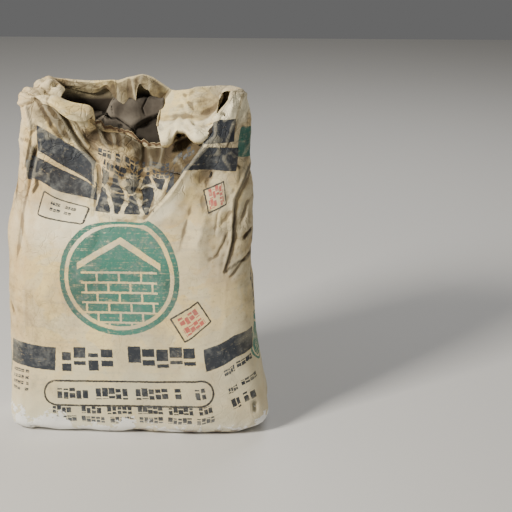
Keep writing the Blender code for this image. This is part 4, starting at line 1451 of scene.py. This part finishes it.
# A noise has its scale, detail, roughness and distortion
paperLook = {
    "cream": (0.88, 0.69, 0.31, 1.0),
    "tan": (0.62, 0.43, 0.21, 1.0),
    "grey": (0.44, 0.39, 0.28, 1.0),
    "shade": (0.125, 0.086, 0.050, 1.0),
    "pale": (0.95, 0.87, 0.62, 1.0),
    "film": (0.71, 0.675, 0.48, 1.0),
    "dust": (0.93, 0.93, 0.90, 1.0),
    # the dark brown of stains and of painted shade; the inside's near-black is painted shade
    "stainAndShade": (0.050, 0.034, 0.018, 1.0),
    "inside": (0.036, 0.027, 0.019, 1.0),
    "torn": (0.12, 0.070, 0.038, 1.0),
    "roughness": 0.82,
    "specular": 0.3,
    "seam": 0.62,  # place around the tube of the long glued seam at the back
    "patches": (7.0, 4.0, 0.6),
    "mottling": (60.0, 5.0, 0.65),
    "wash": (17.0, 3.0, 0.5, 0.6),
    "greyer": (9.0, 4.0, 0.6, 0.3),
    "specks": (190.0, 4.0, 0.6),
    "streaks": (1.0, 5.0, 0.6),
    "smears": (2.8, 4.0, 0.65),
    "stretch": (7.0, 120.0, 1.0),  # the map's scale for the streaks and the smears
    # what covers the cream in turn: what a layer follows, the values where it starts and where it is
    # full, its share there, and its colour
    "layers": (
        ("patches", 0.40, 0.66, 0.75, "tan"),
        ("wash", 0.48, 0.54, 0.45, "film"),
        ("greyer", 0.47, 0.64, 0.58, "grey"),
        ("mottling", 0.45, 0.75, 0.35, "tan"),
        ("streaks", 0.48, 0.72, 0.42, "grey"),
        # by x: tan towards the left edge, then painted shade on the right side, greyer and tan at its edge
        ("placeX", -0.125, -0.215, 0.72, "tan"),
        ("placeX", 0.070, 0.150, 0.42, "grey"),
        ("placeX", 0.180, 0.225, 0.22, "tan"),
        ("specks", 0.54, 0.72, 0.30, "shade"),
        # painted shade in the valleys of creases and in broad hollows
        ("crease", -0.06, -0.55, 0.68, "shade"),
        ("broad", -0.9, -5.2, 0.50, "shade"),
    ),
    "wideLines": (16.0, 0.035),  # scale and width of the thin creases
    "fineLines": (41.0, 0.060),
    "bumpStrength": 0.8,
    "bumpDepth": 0.0014,
}


# The masks of the printing from a place on the paper: each colour's marks join into one mask
def printedMasks(tree, u, v):
    look = printLook
    masks = {"navy": 0.0, "black": 0.0, "red": 0.0, "green": 0.0}

    def mark(colour, group, middle, turn=0.0, output="Fill", **sizes):
        for lap in (0.0, tubeRound) if middle[0] < look["seamSide"] else (0.0,):
            fill = placeGroup(tree, groups[group], output, u=u, v=v, centreU=middle[0] + lap,
                              centreV=middle[1], turn=math.radians(turn), soft=look["soft"], **sizes)
            masks[colour] = reckon("MAXIMUM", masks[colour], fill)

    for *middle, halfU, halfV, turn in look["navyBars"]:
        mark("navy", "box", middle, turn, halfU=halfU, halfV=halfV, round=look["barCorner"])
    for *middle, halfU, halfV, cell in look["wordBands"]:
        mark("navy", "triangles", middle, halfU=halfU, halfV=halfV, cell=cell)
    for number, (*middle, halfU, halfV, cell, turn) in enumerate(look["navyRows"]):
        uneven = look["unevenWide"] if cell > look["wideCell"] else look["uneven"]
        mark("navy", "row", middle, turn, halfU=halfU, halfV=halfV, cell=cell, seed=number, uneven=uneven)
    for *middle, halfU, halfV, turn, corner, line in look["blackFrames"]:
        mark("black", "box", middle, turn, "Outline", halfU=halfU, halfV=halfV, round=corner, line=line)
    for number, (*middle, halfU, halfV, turn, cell) in enumerate(look["redRows"]):
        mark("red", "row", middle, turn, halfU=halfU, halfV=halfV, cell=cell,
             seed=number + look["redSeed"], uneven=look["unevenRed"])
    for *middle, halfU, halfV, turn in look["greenPatches"]:
        mark("green", "box", middle, turn, halfU=halfU, halfV=halfV, round=look["patchCorner"])
    for *middle, radius, turn in look["medallions"]:
        mark("green", "medallion", middle, turn, radius=radius)
    return masks


# A material with its shader's roughness and highlight set
def newMaterial(name, roughness, specular=0.5):
    material = bpy.data.materials.new(name)
    material.use_nodes = True
    shader = material.node_tree.nodes["Principled BSDF"]
    shader.inputs["Roughness"].default_value = roughness
    shader.inputs["Specular IOR Level"].default_value = specular
    return material, shader


# The colour and the relief joined to a material's shader
def joinLooks(shader, tone, relief, strength, depth):
    tree = shader.id_data
    bump = putNode(tree, "ShaderNodeBump", {"Height": relief, "Strength": strength, "Distance": depth})
    tree.links.new(tone.socket, shader.inputs["Base Color"])
    tree.links.new(bump.outputs[0], shader.inputs["Normal"])


# The paper from its own colour up to the dust: each layer is mixed over the tone below it by its
# share. Nodes are made just before they are needed, which keeps the shader within Cycles' limit.
def kraftMaterial():
    look = paperLook
    material, shader = newMaterial("kraftPaper", look["roughness"], look["specular"])
    tree = material.node_tree
    place = objectPlace(tree)
    flow = Value(putNode(tree, "ShaderNodeUVMap", uv_map="paper").outputs[0])
    flowU, flowV, _ = parted(flow)
    placeX, _, height = parted(place)
    stainAndShade = attribute(tree, "stainAndShade")

    # the paper's own colour: soft patches and level streaks; painted shade on its right side, in its
    # valleys and in its hollows
    stretched = vectorMath("MULTIPLY", flow, look["stretch"])
    follows = {name: noise(place, *look[name]) for name in ("patches", "mottling", "wash", "specks")}
    follows["streaks"] = noise(stretched, *look["streaks"])
    follows["greyer"] = parted(noiseColour(place, *look["greyer"]), "Color")[1]
    follows["placeX"] = placeX
    follows["crease"], follows["broad"] = attribute(tree, "crease"), attribute(tree, "broad")
    tone = look["cream"]
    for name, start, full, share, colour in look["layers"]:
        tone = mixed(tone, look[colour], ramped(follows[name], start, full, 0.0, share))
    patches, mottling, wash = follows["patches"], follows["mottling"], follows["wash"]
    specks, crease = follows["specks"], follows["crease"]

    # thin creases with painted shade along them, most in the emptied upper part, and the long seam at the
    # back
    wideLines, fineLines = (
        placeGroup(tree, groups["creaseLines"], scale=scale, width=width)
        for scale, width in (look["wideLines"], look["fineLines"])
    )
    lines = reckon("MAXIMUM", wideLines, fineLines * 0.7) * ramped(height, 0.28, 0.50, 0.32, 1.0)
    tone = mixed(tone, look["shade"], lines * 0.42)
    tone = mixed(tone, look["shade"], ramped(abs(flowU - look["seam"]), 0.0003, 0.0014, 0.5, 0.0))

    # stains and painted shade with ragged edges, bleached stretches and painted light, and a grey film
    # towards the foot
    ragged = mottling * 0.9 - 0.45
    tone = mixed(tone, look["stainAndShade"], ramped(ragged - stainAndShade, 0.05, 0.90, 0.0, 0.93))
    tone = mixed(tone, look["pale"], ramped(stainAndShade + ragged, 0.10, 0.95, 0.0, 0.8))
    film = ramped(height, 0.26, 0.02, 0.0, 0.88) * ramped(patches, 0.30, 0.65, 1.0, 0.45)
    tone = mixed(tone, look["film"], film)

    # the printing, rubbed off in places and scuffed grey
    warpSize = attribute(tree, "warp") * printLook["warp"]
    wobble = parted(noiseColour(place, 260.0, 2.0), "Color")
    bend = parted(noiseColour(place, 42.0, 2.0), "Color")
    moved = [
        start + ((fine - 0.5) * printLook["wobble"] + (wide - 0.5) * warpSize)
        for start, fine, wide in zip((flowU, flowV), wobble, bend)
    ]
    masks = printedMasks(tree, *moved)
    rubbing = noise(stretched, *look["smears"]) * 0.5 + specks * 0.5
    scuffs = placeGroup(tree, groups["dust"], limit=0.44, spread=0.26) * 0.40
    inkPatches = ramped(patches, 0.44, 0.62, 0.0, 0.45)
    for name, amount in printLook["wear"].items():
        left = placeGroup(tree, groups["wear"], mask=masks[name], rubbing=rubbing, crease=crease,
                          amount=amount)
        ink = mixed(printLook[name], printLook["black"], inkPatches)
        tone = mixed(tone, mixed(ink, printLook["scuffed"], scuffs), left)

    # ridges lighter, partly rubbed pale and partly a painted highlight, white residue at the foot, most at
    # the left, and brown specks at the floor
    tone = mixed(tone, look["pale"], ramped(crease, 0.10, 0.60, 0.0, 0.14))
    foot = ramped(height, 0.080, 0.008)
    limit = foot * -0.41 + 0.79 + ramped(wash, 0.38, 0.60, -0.08, 0.12)
    limit = limit + ramped(placeX, -0.110, -0.170, 0.0, -0.09) * foot
    tone = mixed(tone, look["dust"], ramped(height, 0.045, 0.010, 0.0, 0.22))
    residue = placeGroup(tree, groups["dust"], limit=limit, spread=0.045)
    tone = mixed(tone, look["dust"], residue * 0.9)
    floorSpecks = ramped(height, 0.020, 0.008) * ramped(wash, 0.50, 0.58)
    tone = mixed(tone, look["torn"], floorSpecks * ramped(mottling, 0.44, 0.54, 0.0, 0.8))

    # the inside, dusty paper painted near-black as shade, and the torn edge's brown band, partly painted
    # shade
    tone = mixed(tone, look["inside"], attribute(tree, "inside"))
    tone = mixed(tone, look["torn"], ramped(attribute(tree, "torn") + ragged, 0.15, 0.75))

    # relief: fibres, small dents with sharp rims, the seam's step and the residue's grain
    dents = Value(putNode(tree, "ShaderNodeTexVoronoi", {"Vector": place, "Scale": 55.0}).outputs["Distance"])
    relief = noise(place, 900.0, 3.0, 0.7) * 0.10 + dents * dents * 0.5 + mottling * 0.5 - lines * 0.9
    relief = relief + ramped(flowU, look["seam"] - 0.0005, look["seam"] + 0.0005, 0.0, 0.8)
    relief = relief + residue * noise(place, 420.0, 4.0, 0.7)
    joinLooks(shader, tone, relief, look["bumpStrength"], look["bumpDepth"])
    return material


cementLook = {
    "light": (0.185, 0.160, 0.128, 1.0),
    "dark": (0.105, 0.088, 0.070, 1.0),
    "deep": (0.022, 0.018, 0.014, 1.0),
    "roughness": 0.95,
    "specular": 0.2,
    "cloud": (22.0, 5.0, 0.6),
    "grain": (500.0, 4.0, 0.7),
    "lumps": (90.0, 4.0, 0.6),
    "bumpStrength": 0.5,
    "bumpDepth": 0.0012,
}


# Light and dark clouds, with painted shade in the shaded spots and in the cracks, with fine grain and lumps
def cementMaterial():
    look = cementLook
    material, shader = newMaterial("cakedCement", look["roughness"], look["specular"])
    tree = material.node_tree
    place = objectPlace(tree)
    tone = mixed(look["light"], look["dark"], ramped(noise(place, *look["cloud"]), 0.35, 0.65))
    tone = mixed(tone, look["deep"], attribute(tree, "shade") * 0.88)
    tone = mixed(tone, look["deep"], ramped(attribute(tree, "crease"), -0.1, -0.9, 0.0, 0.85))
    relief = noise(place, *look["grain"]) * 0.4 + noise(place, *look["lumps"])
    joinLooks(shader, tone, relief, look["bumpStrength"], look["bumpDepth"])
    return material


sack.data.materials.append(kraftMaterial())
cement.data.materials.append(cementMaterial())
print("paper finished")

# The photograph's view: the bag stands left of the frame's middle
cameraView = {
    "azimuth": 8.0,
    "elevation": 20.0,
    "distance": 2.2,
    "pixelsPerMetre": 559.0,
    "bagMiddle": (0.0, 0.0, 0.32),
    "bagPixel": (138.0, 252.0),
    "imagePixels": 512.0,
    "sensorWidth": 36.0,
}


# An object put in the scene at a place, and turned so that its -z points at a target if it has one
def linked(name, data, place=(0.0, 0.0, 0.0), target=None):
    made = bpy.data.objects.new(name, data)
    made.location = place
    if target is not None:
        made.rotation_euler = (Vector(target) - Vector(place)).to_track_quat("-Z", "Y").to_euler()
    bpy.context.scene.collection.objects.link(made)
    return made


# The camera looks past the bag, so that the bag's middle is at its pixel
def addCamera():
    azimuth, elevation = math.radians(cameraView["azimuth"]), math.radians(cameraView["elevation"])
    level = math.cos(elevation)
    forward = Vector((-math.sin(azimuth) * level, math.cos(azimuth) * level, -math.sin(elevation)))
    middle = Vector(cameraView["bagMiddle"])
    right = forward.cross(Vector((0, 0, 1))).normalized()
    up = right.cross(forward).normalized()
    pixels, scale = cameraView["imagePixels"], cameraView["pixelsPerMetre"]
    aside = (pixels / 2 - cameraView["bagPixel"][0]) / scale
    down = (pixels / 2 - cameraView["bagPixel"][1]) / scale
    data = bpy.data.cameras.new("camera")
    data.sensor_width = cameraView["sensorWidth"]
    data.lens = scale * cameraView["distance"] / pixels * cameraView["sensorWidth"]
    place = middle - forward * cameraView["distance"]
    bpy.context.scene.camera = linked("camera", data, place, middle + right * aside - up * down)


stageLook = {
    "floorSize": 8.0,
    "floorColour": (0.62, 0.61, 0.59, 1.0),
    "floorRoughness": 0.8,
    "worldColour": (0.86, 0.86, 0.86, 1.0),
    "worldStrength": 0.16,
    "lightTarget": (0.0, 0.0, 0.3),
    # name, place, size, power in watts, colour
    "lights": (
        ("keyLight", (-1.9, -1.7, 2.1), 0.7, 176.0, (1.0, 0.95, 0.855)),
        ("fillLight", (2.2, -1.8, 1.6), 1.6, 9.0, (1.0, 0.98, 0.95)),
        ("backLight", (0.6, 1.8, 2.4), 1.4, 30.0, (1.0, 1.0, 1.0)),
    ),
}


# The floor, the even light of the surroundings, and the lights, which all point at one place
def addStage():
    half = stageLook["floorSize"] / 2
    mesh = bpy.data.meshes.new("floor")
    corners = [(-half, -half, 0), (half, -half, 0), (half, half, 0), (-half, half, 0)]
    mesh.from_pydata(corners, [], [(0, 1, 2, 3)])
    material, shader = newMaterial("paleFloor", stageLook["floorRoughness"])
    shader.inputs["Base Color"].default_value = stageLook["floorColour"]
    mesh.materials.append(material)
    floor = linked("floor", mesh)
    world = bpy.data.worlds.new("studio")
    world.use_nodes = True
    background = world.node_tree.nodes["Background"]
    background.inputs["Color"].default_value = stageLook["worldColour"]
    background.inputs["Strength"].default_value = stageLook["worldStrength"]
    bpy.context.scene.world = world
    for name, place, size, power, colour in stageLook["lights"]:
        light = bpy.data.lights.new(name, "AREA")
        light.size, light.energy, light.color = size, power, colour
        linked(name, light, place, stageLook["lightTarget"])


addCamera()
addStage()
print("stage set")
